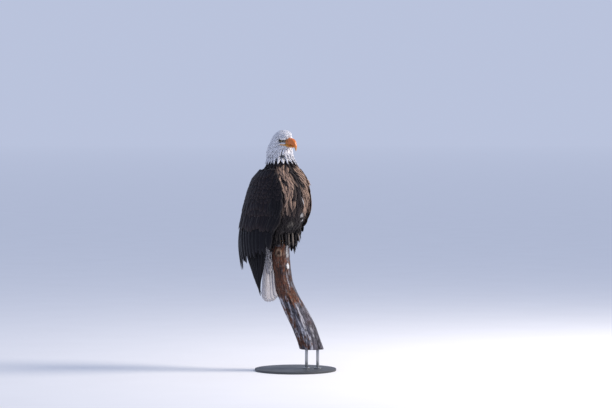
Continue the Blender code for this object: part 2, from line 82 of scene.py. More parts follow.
# Skin: how deep it lies under the feathers' tips
HEAD_DEPTH = 0.0045
NECK_DEPTH = 0.0100
BODY_DEPTH = 0.0130
WING_DEPTH = 0.0045
THIGH_DEPTH = 0.0070
VENT_DEPTH = 0.0070
WING_FLESH_FOOT = 0.060  # below this height a wing is only feathers

# How fine each piece is when its surface is made even
SKIN_VOXEL = 0.0031
BILL_VOXEL = 0.0008
FOOT_VOXEL = 0.0011
TRUNK_VOXEL = 0.0019

PATCH = 0.003  # each vane's patch on the baked map
THICKNESS = 0.0004  # of a vane at its middle
LINE_STEPS = 12  # along a long feather's line
WALK_STEPS = 6  # along a small feather's line
RISE = 0.8  # below 1, a vane's height changes most near its root


def linear(code):
    """A hex sRGB colour as linear red, green and blue."""
    shares = [int(code[i : i + 2], 16) / 255 for i in (0, 2, 4)]
    return tuple(((c + 0.055) / 1.055) ** 2.4 if c > 0.04045 else c / 12.92 for c in shares)


def smooth(value, low, high):
    t = np.clip((np.asarray(value, float) - low) / (high - low), 0, 1)
    return t * t * (3 - 2 * t)


def bell(distance, reach):
    return np.exp(-((np.asarray(distance, float) / reach) ** 2))


def unit(vectors):
    return vectors / np.maximum(np.linalg.norm(vectors, axis=-1, keepdims=True), 1e-12)


def blend(a, b, share):
    """Mixes two rows of colours, or a row and one colour, by a share for each."""
    share = np.asarray(share, float)[..., None]
    return np.asarray(a) * (1 - share) + np.asarray(b) * share


def washed(tint, *washes):
    """Colours laid over a tint one after another, each a hex code and its share at each place."""
    for code, share in washes:
        tint = blend(tint, linear(code), share)
    return tint


def repeated(colour, count):
    return np.tile(colour, (count, 1))


def only(shown, *rows):
    """The entries of each row that are shown. A row that is a single number stays as it is."""
    return [row[shown] if np.ndim(row) else row for row in rows]


def turn_of(points):
    """Degrees round the bird from its front: its left is positive."""
    return np.degrees(np.arctan2(points[..., 0], -points[..., 1]))


def box_of(node):
    """A solid's lowest and highest corners, counted from the bird's own axis."""
    return (np.array(corner - BIRD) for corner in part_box(node))


# ---------------------------------------------------------------- objects


def select_only(*objs):
    bpy.ops.object.select_all(action="DESELECT")
    for obj in objs:
        obj.select_set(True)
    bpy.context.view_layer.objects.active = objs[0]


def apply_modifier(obj, kind, **settings):
    modifier = obj.modifiers.new(kind.title(), kind)
    for key, value in settings.items():
        setattr(modifier, key, value)
    select_only(obj)
    bpy.ops.object.modifier_apply(modifier=modifier.name)


def named(obj, name):
    """Names an object and its mesh."""
    obj.name = obj.data.name = name
    return obj


def new_object(name, data):
    obj = bpy.data.objects.new(name, data)
    bpy.context.scene.collection.objects.link(obj)
    return obj


def added(name, shape, **settings):
    """A new object of one of the plain shapes."""
    bpy.ops.object.select_all(action="DESELECT")
    getattr(bpy.ops.mesh, f"primitive_{shape}_add")(**settings)
    return named(bpy.context.object, name)


def joined(name, *objs):
    """These objects as one."""
    select_only(*objs)
    if len(objs) > 1:
        bpy.ops.object.join()
    return named(objs[0], name)


@contextmanager
def edit_mode(select="SELECT"):
    """Edit mode on the active mesh, with all or none of it selected first, or as it was."""
    bpy.ops.object.mode_set(mode="EDIT")
    if select:
        bpy.ops.mesh.select_all(action=select)
    yield
    bpy.ops.object.mode_set(mode="OBJECT")


def select_faces(obj, chosen):
    """Selects only these faces of the active mesh."""
    with edit_mode("DESELECT"):
        pass
    obj.data.polygons.foreach_set("select", chosen)


def merged_copy(name, *nodes):
    """One object made of copies of these solids, with their loose triangles merged."""
    copies = []
    for node in nodes:
        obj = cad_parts[node].copy()
        obj.data = obj.data.copy()
        obj.parent = None
        for key in list(obj.keys()):
            del obj[key]
        obj.hide_render = obj.hide_viewport = False
        bpy.context.scene.collection.objects.link(obj)
        copies.append(obj)
    obj = joined(name, *copies)
    bpy.ops.mesh.customdata_custom_splitnormals_clear()
    with edit_mode():
        bpy.ops.mesh.remove_doubles(threshold=0.00002)
        bpy.ops.mesh.tris_convert_to_quads()
    obj.data.materials.clear()
    obj.data.shade_smooth()
    return obj


def remesh(obj, voxel, rounds):
    """Gives an object an even, fine and smooth surface."""
    apply_modifier(obj, "REMESH", mode="VOXEL", voxel_size=voxel, use_smooth_shade=True)
    apply_modifier(obj, "SMOOTH", factor=0.5, iterations=rounds)


def read(entries, key, width, kind=np.float32):
    """The numbers that each of a mesh's entries keeps."""
    flat = np.empty(len(entries) * width, kind)
    entries.foreach_get(key, flat)
    return flat.reshape(-1, width)


def points_of(obj):
    return read(obj.data.vertices, "co", 3).astype(float)


def normals_of(obj):
    return read(obj.data.vertex_normals, "vector", 3).astype(float)


def move_points(obj, points):
    obj.data.vertices.foreach_set("co", np.ascontiguousarray(points, np.float32).ravel())
    obj.data.update()


def place_mesh(obj):
    """Moves the object's place and turn into its mesh."""
    select_only(obj)
    bpy.ops.object.transform_apply(location=True, rotation=True, scale=True)


def relax(obj, values, rounds):
    """Evens out a number held at each vertex with its neighbours'."""
    a, b = read(obj.data.edges, "vertices", 2, np.int32).T
    count = np.bincount(a, minlength=len(values)) + np.bincount(b, minlength=len(values)) + 1
    for _ in range(rounds):
        total = np.bincount(a, values[b], len(values)) + np.bincount(b, values[a], len(values))
        values = (values + total) / count
    return values


def paint(obj, name, colours):
    """Keeps a linear colour at each vertex."""
    layer = obj.data.attributes.new(name, "FLOAT_COLOR", "POINT")
    rgba = np.ones((len(colours), 4), np.float32)
    rgba[:, :3] = colours
    layer.data.foreach_set("color", rgba.ravel())


def note(obj, name, vectors):
    """Keeps three numbers at each vertex."""
    layer = obj.data.attributes.new(name, "FLOAT_VECTOR", "POINT")
    layer.data.foreach_set("vector", np.ascontiguousarray(vectors, np.float32).ravel())


def fractal(points, octaves=3):
    """Smooth noise, about -1 to 1, at each point."""
    return np.array([noise.fractal(Vector(p), 1.0, 2.0, octaves) for p in points])


def finish_piece(obj, material, nodes=()):
    obj.data.materials.clear()
    obj.data.materials.append(material)
    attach(obj, "root")
    if nodes:
        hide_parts(*nodes)
    return obj


class Surface:
    """A mesh that lines can be laid on: its nearest points, its hits and its smooth normals."""

    def __init__(self, obj):
        mesh = obj.data
        mesh.calc_loop_triangles()
        self.corners = read(mesh.loop_triangles, "vertices", 3, np.int32)
        self.points = points_of(obj)
        self.tree = BVHTree.FromPolygons(self.points.tolist(), self.corners.tolist())
        self.normal = unit(normals_of(obj)[self.corners].mean(1))
        a, b, c = (self.points[self.corners[:, i]] for i in range(3))
        self.area = np.linalg.norm(np.cross(b - a, c - a), axis=1) / 2
        self.middle = (a + b + c) / 3
        if mesh.uv_layers:
            loops = read(mesh.loop_triangles, "loops", 3, np.int32)
            self.map = read(mesh.uv_layers[0].uv, "vector", 2)[loops[:, 0]]

    def nearest(self, points):
        """The nearest place to each point, and its face."""
        found = [self.tree.find_nearest(Vector(p)) for p in points]
        return np.array([f[0] for f in found]), np.array([f[2] for f in found])

    def hit(self, start, ahead):
        """Where a line first meets the mesh, and the normal there."""
        place, normal, _, _ = self.tree.ray_cast(Vector(start), Vector(ahead))
        return (None, None) if place is None else (np.array(place), np.array(normal))


# ---------------------------------------------------------------- materials


def add_node(tree, kind, settings=None, **inputs):
    """Adds a node. An input is a number, a colour or another node's output, named by its socket
    with _ for a space, or by its place as n0, n1 and so on."""
    node = tree.nodes.new("ShaderNode" + kind)
    for key, value in (settings or {}).items():
        setattr(node, key, value)
    for key, value in inputs.items():
        by_place = key[0] == "n" and key[1:].isdigit()
        socket = node.inputs[int(key[1:])] if by_place else node.inputs[key.replace("_", " ")]
        if isinstance(value, bpy.types.NodeSocket):
            tree.links.new(value, socket)
        else:
            socket.default_value = value
    return node


def attribute(tree, name, output=0):
    """What the mesh keeps under a name: its colour, or its three numbers as output 1."""
    return add_node(tree, "Attribute", {"attribute_name": name}).outputs[output]


def object_place(tree):
    return add_node(tree, "TexCoord").outputs["Object"]


def maths(tree, operation, *values):
    inputs = {f"n{place}": value for place, value in enumerate(values)}
    return add_node(tree, "Math", {"operation": operation}, **inputs).outputs[0]


def noised(tree, place, scale, detail, stretch=None, **inputs):
    """Noise over a place, which may be stretched first."""
    if stretch:
        place = add_node(tree, "Mapping", n0=place, Scale=stretch).outputs[0]
    return add_node(tree, "TexNoise", Vector=place, Scale=scale, Detail=detail, **inputs).outputs[0]


def ranged(tree, value, low, high, start, end):
    """A value from low to high, moved to run from start to end."""
    return add_node(
        tree, "MapRange", n0=value, From_Min=low, From_Max=high, To_Min=start, To_Max=end
    ).outputs[0]


def mixed(tree, share, a, b, kind="MIX"):
    return add_node(
        tree, "Mix", {"data_type": "RGBA", "blend_type": kind}, Factor=share, n6=a, n7=b
    ).outputs[2]


def varied(tree, colour, value, dark, light, high=0.7):
    """A colour made darker and lighter by a noise."""
    shade = ranged(tree, value, 0.3, high, dark, light)
    return mixed(tree, 1.0, colour, shade, "MULTIPLY")


def opaque(code):
    """A hex colour as a socket holds it."""
    return (*linear(code), 1)


def new_material(name):
    """An empty material, and its nodes."""
    made = bpy.data.materials.new(name)
    made.use_nodes = True
    made.node_tree.nodes.clear()
    return made, made.node_tree


def finish_material(made, bump=None, **inputs):
    """Gives a material its shader. A bump is a strength, a depth in metres and a height."""
    tree = made.node_tree
    if bump:
        strength, distance, height = bump
        relief = add_node(tree, "Bump", Strength=strength, Distance=distance, Height=height)
        inputs["Normal"] = relief.outputs[0]
    shader = add_node(tree, "BsdfPrincipled", **inputs)
    add_node(tree, "OutputMaterial", Surface=shader.outputs[0])
    return made


def vane_material(name, roughness, barb, shaft, shaft_colour, edge_share, contrast=0.16):
    """Feather keratin: matt barbs that catch a soft light along their edges, a paler margin, and
    a shaft. Barbs are 0.4 mm apart in life, and are drawn a little coarser, so that they show."""
    made, tree = new_material(name)
    across, along, luck = add_node(tree, "SeparateXYZ", n0=attribute(tree, "vane", 1)).outputs
    wide, far, _ = add_node(tree, "SeparateXYZ", n0=attribute(tree, "span", 1)).outputs
    across = maths(tree, "ABSOLUTE", across)
    # Barbs leave the shaft at a slant
    lean = maths(tree, "MULTIPLY", maths(tree, "ABSOLUTE", wide), 1.1)
    row = maths(tree, "SUBTRACT", far, lean)
    streak = add_node(tree, "CombineXYZ", n0=row, n1=luck, n2=0.0).outputs[0]
    barbs = add_node(
        tree, "TexNoise", {"noise_dimensions": "2D"}, Vector=streak, Scale=1 / barb, Detail=1.0
    ).outputs[0]
    # The margin is paler, most at the tip
    tip, rim = maths(tree, "POWER", along, 5.0), maths(tree, "POWER", across, 3.0)
    worn = maths(tree, "MULTIPLY", maths(tree, "MAXIMUM", tip, rim), edge_share)
    colour = mixed(tree, worn, attribute(tree, "tint"), attribute(tree, "edge"))
    near = ranged(tree, across, 0.02, 0.07, shaft, 0.0)
    colour = mixed(tree, near, colour, opaque(shaft_colour))
    colour = varied(tree, colour, barbs, 1 - contrast, 1 + contrast)
    return finish_material(
        made, (0.35, 0.0004, barbs), Base_Color=colour, Roughness=roughness, IOR=1.54,
        Specular_IOR_Level=0.12, Sheen_Weight=0.05, Sheen_Roughness=0.45,
    )


def skin_material():
    """Skin and down under the coat: matt, of the coat's colour painted darker as shade under the
    feathers. It shows at the lids, between bill and eye, and where feathers part."""
    made, tree = new_material("feathered_skin")
    fuzz = noised(tree, object_place(tree), 900.0, 3.0)
    colour = varied(tree, attribute(tree, "tint"), fuzz, 0.8, 1.15)
    return finish_material(made, (0.4, 0.0006, fuzz), Base_Color=colour, Roughness=0.8)


def horn_material(name, roughness, streak_mm, coat):
    """Grown horn: smooth and waxy, with fine streaks along its growth and small scuffs."""
    made, tree = new_material(name)
    along = (1.0, 0.25, 1.0)
    streaks = noised(tree, object_place(tree), 1000 / streak_mm, 4.0, along, Roughness=0.6)
    colour = varied(tree, attribute(tree, "tint"), streaks, 0.82, 1.12, 0.75)
    gloss = ranged(tree, streaks, 0.3, 0.7, roughness - 0.06, roughness + 0.10)
    return finish_material(
        made, (0.25, 0.0003, streaks), Base_Color=colour, Roughness=gloss, IOR=1.54,
        Coat_Weight=coat, Coat_Roughness=0.25,
    )


# ---------------------------------------------------------------- markings

COLLAR = 0.380  # the white of the neck ends here
HACKLE_FOOT = 0.390  # the lowest roots of the white hackles, whose tips hang to the collar
TRACT = 12.5  # degrees between the feather tracts of the breast
PARTING = -3.0  # the breast's dark parting, a little to the bird's right
DRIFT = 6.0  # how far the tracts slant to the bird's right at the neck
# Degrees from the bird's front, and height, of its marks; then their colours
BELLY_PATCH = (-13, 0.1125)
FLECKS = ((1, 0.212), (9, 0.158), (20, 0.132))
NECK_MARK = (-27, 0.4185)
MARK_SLANT = 320  # degrees for each metre of height
PATCH_GREY, FLECK, FLECK_EDGE, STRAND = "6f6a64", "b9b7b8", "e4e4e6", "8a817a"
WHITE_EDGE, NECK_GREY, NECK_GREY_EDGE = "f4f4f6", "4a4d57", "5d606a"


def plumage():
    """The feathers' colours, as the sidebar has them."""
    return bpy.context.scene.eagle_plumage


def tract_turn(points):
    """Degrees from the breast's parting, along the slanting tracts."""
    return turn_of(points) - PARTING + DRIFT * smooth(points[..., 2], 0.270, 0.350)


def tract_crest(points):
    """1 along the middle of each tract of breast feathers, 0 in the gaps between them."""
    turn = tract_turn(points)
    wave = 0.5 - 0.5 * np.cos(2 * np.pi * turn / TRACT + 0.7 * np.sin(points[..., 2] * 42))
    return wave * (1 - bell(turn, 7.5))


def hackle_foot(points):
    """How low the white hackles start: lower on the bird's left side."""
    turn = turn_of(points)
    return HACKLE_FOOT - 0.012 * smooth(turn, -10, 40) * (1 - smooth(turn, 90, 120))


def breast_share(points):
    turn, height = turn_of(points), points[..., 2]
    across = 1 - smooth(np.abs(turn - 3), 42, 56)
    return across * smooth(height, 0.138, 0.190) * (1 - smooth(height, COLLAR - 0.01, COLLAR))


def body_colours(points):
    """The plumage's colour, and that of the vanes' margins, at each place of the body. It holds
    painted sunlight on the left shoulder, and painted shade in the breast's gaps, the neck's
    parting and the vent.
    """
    height, behind = points[..., 2], points[..., 1]
    turn = turn_of(points)
    own = plumage()
    tint = blend(own.mantle, own.belly, 1 - smooth(height, 0.060, 0.180))
    tint = blend(tint, own.covert, smooth(np.abs(turn), 60, 90) * 0.5)
    share = breast_share(points)
    crest = tract_crest(points)
    right = 1 - 0.55 * (1 - smooth(turn, -14, 10)) * (1 - smooth(height, 0.150, 0.250))
    # Tan on the crests of the breast's tracts. The gaps keep the dark mantle colour, which also
    # stands in as painted shade between the tracts
    tint = blend(tint, own.breast, share * right * smooth(crest, 0.38, 0.78))
    # The front of the left wing's shoulder is a paler brown, partly its own colour and partly
    # painted sunlight
    lit = smooth(turn, 42, 52) * (1 - smooth(turn, 64, 80)) * smooth(height, 0.08, 0.14)
    tint = blend(tint, own.shoulder, 0.8 * lit * (1 - smooth(height, 0.33, 0.36)))
    edge = blend(blend(tint, own.covert_edge, 0.45), own.worn_tip, 0.26 * share * crest**2)
    # A dull greyish patch low on the belly
    patch = bell(turn - BELLY_PATCH[0], 7) * bell(height - BELLY_PATCH[1], 0.013)
    tint = washed(tint, (PATCH_GREY, 0.7 * patch))
    # A few bleached tips on the breast, and pale strands on the left thigh
    for place, level in FLECKS:
        fleck = 1 - smooth(np.hypot((turn - place) / 4.2, (height - level) / 0.008), 0.7, 1.1)
        tint, edge = washed(tint, (FLECK, 0.8 * fleck)), washed(edge, (FLECK_EDGE, fleck))
    strand = smooth(np.sin(np.radians(turn) * 30), 0.1, 0.8) * (1 - smooth(height, 0.045, 0.075))
    strand = strand * bell(turn - 20, 24) * (points[..., 0] > 0)
    tint = washed(tint, (STRAND, 0.85 * strand))
    # White vent and tail coverts, and the white head and neck
    vent = smooth(behind, 0.030, 0.050) * (1 - smooth(height, 0.035, 0.055))
    vent = vent * (1 - smooth(np.abs(points[..., 0]), 0.050, 0.060))
    white = np.maximum(vent, smooth(height - hackle_foot(points), -0.003, -0.001))
    tint, edge = blend(tint, own.white, white), washed(edge, (WHITE_EDGE, white))
    # The vent and its coverts take the tail's light grey, which is white painted down as shade
    tint, edge = blend(tint, own.tail, 0.8 * vent), blend(edge, own.tail, 0.8 * vent)
    # A short grey bar on the side of the neck: a parting in the hackles where grey feather bases
    # show, painted darker as the shade in the gap
    slanted = turn - NECK_MARK[0] - MARK_SLANT * (height - NECK_MARK[1])
    mark = 1 - smooth(np.hypot(slanted / 9.0, (height - NECK_MARK[1]) / 0.0125), 0.85, 1.05)
    return washed(tint, (NECK_GREY, mark)), washed(edge, (NECK_GREY_EDGE, mark))


# ---------------------------------------------------------------- the face

EYE_REACH = 0.0328  # how far round the eye the bare skin and lids are shaped


def head_frame(points):
    """Points seen from the head: to its left, forward from its middle, and height."""
    turn = np.array(Matrix.Rotation(-HEAD_YAW, 3, "Z"))
    local = points @ turn.T
    return np.stack([local[..., 0], -local[..., 1] - HEAD_MIDDLE, local[..., 2]], -1)


def from_head_frame(local):
    points = np.stack([local[..., 0], -local[..., 1] - HEAD_MIDDLE, local[..., 2]], -1)
    return points @ np.array(Matrix.Rotation(HEAD_YAW, 3, "Z")).T


def eye_centres():
    """The middle of each eye, in the head's frame."""
    centres = {}
    for side, sign in SIDES:
        low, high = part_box("eye_" + side)
        centres[sign] = head_frame(np.array((low + high) / 2 - BIRD))
    return centres


EYES = eye_centres()
EYE_RADIUS = 0.0096
BILL_ROOT = 0.0480  # forward of the head's middle
GAPE_HEIGHT = 0.4518
GAPE_ROOT = 0.0530  # forward of the head's middle
GAPE_LENGTH = 0.0290


def eye_offset(local):
    """Forward and upward distance from the nearer eye's middle, seen from the side."""
    centre = EYES[1]
    return local[..., 1] - centre[1], local[..., 2] - centre[2]


def lid_reach(forward, up):
    """How far a place lies from the eye's middle, as a share of the lids' opening there: an
    opening that the brow makes flatter above, and that runs out to a corner at each end."""
    tall = np.where(up > 0.10 * forward, 0.0046, 0.0064)
    return np.hypot(forward / 0.0088, up / tall)


def gape_height(forward):
    """The mouth's line rises a little from the bill's root to its corner under the eye."""
    back = np.clip((GAPE_ROOT - forward) / GAPE_LENGTH, 0, 1)
    return GAPE_HEIGHT - 0.0005 + 0.0032 * back**1.5


def bare_share(points):
    """1 on the bare skin round the eye and between it and the bill, 0 among the feathers."""
    local = head_frame(points)
    forward, up = eye_offset(local)
    ring = 1 - smooth(np.hypot(forward, up * 1.15), 0.0090, 0.0112)
    on_lore = smooth(forward, 0.000, 0.006) * (1 - smooth(forward, 0.026, 0.030))
    lore = on_lore * (1 - smooth(np.abs(up + 0.0015 + 0.10 * forward), 0.0060, 0.0080))
    mouth = 1 - smooth(np.abs(local[..., 2] - gape_height(local[..., 1])), 0.0024, 0.0036)
    mouth = mouth * smooth(local[..., 1], 0.021, 0.025)
    in_front = smooth(np.abs(local[..., 0]), 0.008, 0.012) * smooth(local[..., 2], 0.440, 0.445)
    return np.maximum(np.maximum(ring, lore), mouth) * in_front


def skin_depth(obj, points):
    """How deep the skin lies under each place of the solids' surface."""
    height = points[:, 2]
    depth = BODY_DEPTH + (NECK_DEPTH - BODY_DEPTH) * smooth(height, 0.330, 0.370)
    depth += (HEAD_DEPTH - NECK_DEPTH) * smooth(height, 0.395, 0.440)
    near = bare_share(points)
    local = head_frame(points)
    bill = smooth(local[:, 1], 0.036, 0.046) * smooth(height, 0.425, 0.435)
    depth = depth * (1 - 0.85 * np.maximum(near, 0.8 * bill))
    flesh = {
        "wing_right": WING_DEPTH, "wing_left": WING_DEPTH,
        "thigh_right": THIGH_DEPTH, "thigh_left": THIGH_DEPTH, "tail_coverts": VENT_DEPTH,
    }
    for node, own in flesh.items():
        low, high = box_of(node)
        inside = np.flatnonzero(((points > low - 0.003) & (points < high + 0.003)).all(1))
        places, _ = Surface(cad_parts[node]).nearest(points[inside] + AT)
        off = np.linalg.norm(places - points[inside] - AT, axis=1)
        depth[inside[off < 0.0022]] = own
    low_thigh = 1 - smooth(height, -0.015, 0.040)
    on_thigh = depth == THIGH_DEPTH
    depth[on_thigh] *= 1 - 0.65 * low_thigh[on_thigh]
    return relax(obj, depth, 6)


def shape_face(obj):
    """Lids, brow and lore: the skin is drawn over the eyeball and folded round it."""
    points = points_of(obj) - AT
    local = head_frame(points)
    forward, up = eye_offset(local)
    reach = np.hypot(forward, up)
    sign = np.where(local[:, 0] > 0, 1.0, -1.0)
    side = np.abs(local[:, 0])
    near = (side > 0.012) & (local[:, 2] > 0.440) & (reach < EYE_REACH)
    # The ball's own side, where a point lies over it
    middle = abs(EYES[1][0])
    over = np.clip(reach / EYE_RADIUS, 0, 1)
    ball = middle + EYE_RADIUS * np.sqrt(1 - over**2)
    opening = lid_reach(forward, up)
    lids = 1 - smooth(reach, 0.0095, 0.0135)
    lid_side = np.maximum(ball + 0.0009 + 0.0006 * bell(opening - 1.12, 0.14), middle + 0.0012)
    shaped = side * (1 - lids) + lid_side * lids
    shaped = np.where(opening < 1.0, middle - 0.002, shaped)  # out of sight in the ball
    crease = 0.0008 * bell(opening - 1.75, 0.13) * (1 - smooth(reach, 0.014, 0.018))
    brow = 0.0066 * bell(up - 0.0086 + 0.14 * forward, 0.0030)
    brow = brow * smooth(forward, -0.015, -0.004) * (1 - smooth(forward, 0.013, 0.024))
    lore = 0.0010 * bell(up + 0.003, 0.005) * bell(forward - 0.014, 0.007)
    shaped = shaped - crease - lore + brow
    local[:, 0] = np.where(near, sign * shaped, local[:, 0])
    points = np.where(near[:, None], from_head_frame(local), points)
    move_points(obj, points + AT)


def make_skin():
    """One skin under all the feathers, from the head to the thighs."""
    body = merged_copy("skin", *(node for node in FLESH if not node.startswith("wing_")))
    wings = merged_copy("wing_flesh", "wing_right", "wing_left")
    with edit_mode():
        bpy.ops.mesh.bisect(
            plane_co=BIRD + Vector((0, 0, WING_FLESH_FOOT)), plane_no=(0, 0, -1),
            clear_outer=True, use_fill=True,
        )
    skin = joined("skin", body, wings)
    apply_modifier(skin, "DISPLACE", strength=0.0008, mid_level=0.0)  # closes the thin cuts
    remesh(skin, SKIN_VOXEL, 8)
    points = points_of(skin)
    depth = skin_depth(skin, points - AT)
    move_points(skin, points - normals_of(skin) * depth[:, None])
    remesh(skin, SKIN_VOXEL, 4)
    # The face is made finer before its lids are shaped
    middles = np.array([list(face.center) for face in skin.data.polygons]) - AT
    local = head_frame(middles)
    forward, up = eye_offset(local)
    fine = (np.hypot(forward - 0.005, up) < 0.021) & (np.abs(local[:, 0]) > 0.012)
    select_faces(skin, fine & (middles[:, 2] > 0.440))
    with edit_mode(None):
        bpy.ops.mesh.subdivide(number_cuts=3, smoothness=0.0)
    shape_face(skin)
    apply_modifier(skin, "TRIANGULATE")
    with edit_mode():
        bpy.ops.uv.smart_project(angle_limit=math.radians(70), island_margin=0.003)
    skin.data.uv_layers[0].name = "OFBake"
    skin.data.shade_smooth()
    return skin


def skin_colours(points):
    tint, _ = body_colours(points)
    # Painted shade: under the coat the skin is made darker, and on the breast it takes the dark
    # mantle colour, so that partings read as shadow
    tint = blend(tint, plumage().mantle, breast_share(points))
    tint = blend(tint, plumage().covert, wing_share(points)) * 0.8
    local = head_frame(points)
    forward, up = eye_offset(local)
    bare = blend(linear("7b7366"), linear("322f2d"), bell(lid_reach(forward, up) - 1.1, 0.4))
    lids = 1 - smooth(np.hypot(forward, up * 1.1), 0.0112, 0.0132)
    lids = lids * smooth(np.abs(local[..., 0]), 0.012, 0.016)
    return blend(tint, bare, np.maximum(bare_share(points), lids))


def wing_share(points):
    turn = np.abs(turn_of(points))
    return smooth(turn, 60, 75) * (1 - smooth(points[..., 2], COLLAR - 0.02, COLLAR - 0.01))


# ---------------------------------------------------------------- vanes

# Sections of a vane: how far across it each corner is, and how high in its thickness
LENS = ((-1.0, 0.0), (-0.45, -0.5), (0.45, -0.5), (1.0, 0.0), (0.45, 0.8), (-0.45, 0.8))
DOWN_LENS = ((-1.0, 0.0), (0.0, -0.6), (1.0, 0.0), (0.0, 1.0))
QUILLED = (
    (-1.0, 0.0), (-0.5, -0.4), (0.5, -0.4), (1.0, 0.0),
    (0.5, 0.6), (0.07, 0.8), (0.0, 2.2), (-0.07, 0.8), (-0.5, 0.6),
)
# Where its rows of corners lie along it
DOWN_ROWS = (0.0, 0.35, 0.65, 0.88, 1.0)
BODY_ROWS = (0.0, 0.25, 0.50, 0.70, 0.86, 0.96, 1.0)
FLIGHT_ROWS = tuple(1 - (1 - k / 18) ** 1.25 for k in range(19))


class Vane:
    """One vane modelled once: a flat section, extruded row by row from its root to its tip."""

    def __init__(self, section, rows):
        obj = added("vane", "circle", vertices=len(section), radius=1, fill_type="NGON")
        for vert, (across, height) in zip(obj.data.vertices, section):
            vert.co = (across, 0.0, height)
        with edit_mode():
            for start, end in zip(rows, rows[1:]):
                bpy.ops.mesh.extrude_region_move(
                    TRANSFORM_OT_translate={"value": (0.0, end - start, 0.0)}
                )
            bpy.ops.mesh.select_all(action="SELECT")
            bpy.ops.mesh.quads_convert_to_tris()
            bpy.ops.mesh.normals_make_consistent(inside=False)
        self.points = points_of(obj)
        faces = read(obj.data.loops, "vertex_index", 1, np.int32).reshape(-1, 3)
        # The triangles' order, and the corner that each starts at, are the same on every run
        faces = np.array([np.roll(face, -face.argmin()) for face in faces])
        self.faces = faces[np.lexsort(faces.T[::-1])]
        self.across, self.along, self.height = self.points.T
        self.row = np.searchsorted(np.array(rows) + 1e-4, self.along)
        self.rows = len(rows)
        bpy.data.objects.remove(obj)


def outline(along, root, widest, point):
    """Half width along a vane as a share of its widest. A point of 0 rounds its tip, and one of 1
    sharpens it."""
    rise = root + (1 - root) * np.sin(np.minimum(along / widest, 1) * np.pi / 2)
    past = np.clip((along - widest) / (1 - widest), 0, 1)
    rounded = np.sqrt(np.maximum(1 - past**2, 0))
    pointed = (1 - past) ** 0.9
    return np.maximum(rise * ((1 - point) * rounded + point * pointed), 0.035)


class Coat:
    """Many vanes gathered into one mesh. Each lies along a line over the skin."""

    def __init__(self, surface, seed):
        self.surface = surface
        self.rng = np.random.default_rng(seed)
        self.places, self.faces, self.maps = [], [], []
        self.layers = {name: [] for name in ("tint", "edge", "vane", "span")}
        self.count = 0

    def add(
        self, vane, lines, ups, half_width, tint, edge, root_faces,
        point, root=0.35, widest=0.6, ragged=0.05, arch=0.2, lead=1.0, lead_side=-1,
    ):
        """Lays vanes: lines and ups are a row of points, and of directions away from the body, for
        each one. lead is the leading web's width as a share of the trailing one's."""
        # One whose line is bent back on itself is left out
        ahead = unit(np.diff(lines, axis=1))
        even = ((ahead[:, 1:] * ahead[:, :-1]).sum(2) > 0.45).all(1)
        even &= ((ups[:, 1:] * ups[:, :-1]).sum(2) > 0.30).all(1)
        half_width = np.broadcast_to(half_width, len(lines))[even, None]
        point = np.broadcast_to(point, len(lines))[even, None]
        lines, ups, tint, edge, root_faces = only(even, lines, ups, tint, edge, root_faces)
        count, steps = lines.shape[:2]
        place = vane.along * (steps - 1)
        at = np.minimum(place.astype(int), steps - 2)
        share = (place - at)[None, :, None]

        def between(rows):
            return rows[:, at] * (1 - share) + rows[:, at + 1] * share

        up, ahead = unit(between(ups)), unit(between(np.gradient(lines, axis=1)))
        side = unit(np.cross(ahead, up))
        up = np.cross(side, ahead)
        shape = outline(vane.along[None], root, widest, point)
        # Uneven margins: each row of barbs ends a little short or long, on each side by itself
        uneven = self.rng.normal(0, ragged, (count, vane.rows, 2))
        uneven = uneven[:, vane.row, (vane.across > 0).astype(int)] * np.abs(vane.across)
        across = np.where(vane.across * lead_side > 0, vane.across * lead, vane.across)
        wide = across[None] * half_width * shape * (1 + np.clip(uneven, -0.25, 0.2))
        bow = -arch * half_width * shape * across[None] ** 2
        lift = vane.height[None] * THICKNESS * np.minimum(shape * 1.5, 1) + bow
        size = len(vane.points)
        self.places.append(
            (between(lines) + side * wide[..., None] + up * lift[..., None]).reshape(-1, 3)
        )
        first = self.count + np.arange(count)[:, None, None] * size
        self.faces.append((vane.faces[None] + first).reshape(-1, 3))
        self.count += count * size
        length = np.linalg.norm(np.diff(lines, axis=1), axis=2).sum(1)[:, None]
        luck = self.rng.random(count)[:, None] + np.zeros(size)
        layers = {
            "tint": np.broadcast_to(tint[:, None], (count, size, 3)),
            "edge": np.broadcast_to(edge[:, None], (count, size, 3)),
            "vane": np.stack([vane.across + 0 * luck, vane.along + 0 * luck, luck], -1),
            "span": np.stack([wide, vane.along * length, luck], -1),
        }
        for name, rows in layers.items():
            self.layers[name].append(rows.reshape(-1, 3))
        middle = self.surface.map[root_faces][:, None]
        patch = np.stack([vane.across * 0.25, vane.along - 0.5], -1) * PATCH * 0.9
        self.maps.append(np.clip(middle + patch[None], 0.001, 0.999).reshape(-1, 2))

    def build(self, name, material, slot, nodes=()):
        places, faces = np.concatenate(self.places), np.concatenate(self.faces)
        mesh = bpy.data.meshes.new(name)
        mesh.vertices.add(len(places))
        mesh.vertices.foreach_set("co", places.astype(np.float32).ravel())
        mesh.loops.add(faces.size)
        mesh.loops.foreach_set("vertex_index", faces.astype(np.int32).ravel())
        mesh.polygons.add(len(faces))
        mesh.polygons.foreach_set("loop_start", np.arange(0, faces.size, 3, dtype=np.int32))
        mesh.update(calc_edges=True)
        obj = new_object(name, mesh)
        for layer, keep in (("tint", paint), ("edge", paint), ("vane", note), ("span", note)):
            keep(obj, layer, np.concatenate(self.layers[layer]))
        baked = np.concatenate(self.maps)[faces.ravel()].astype(np.float32)
        mesh.uv_layers.new(name="OFBake").uv.foreach_set("vector", baked.ravel())
        mesh.shade_smooth()
        return finish_piece(obj, material, nodes)


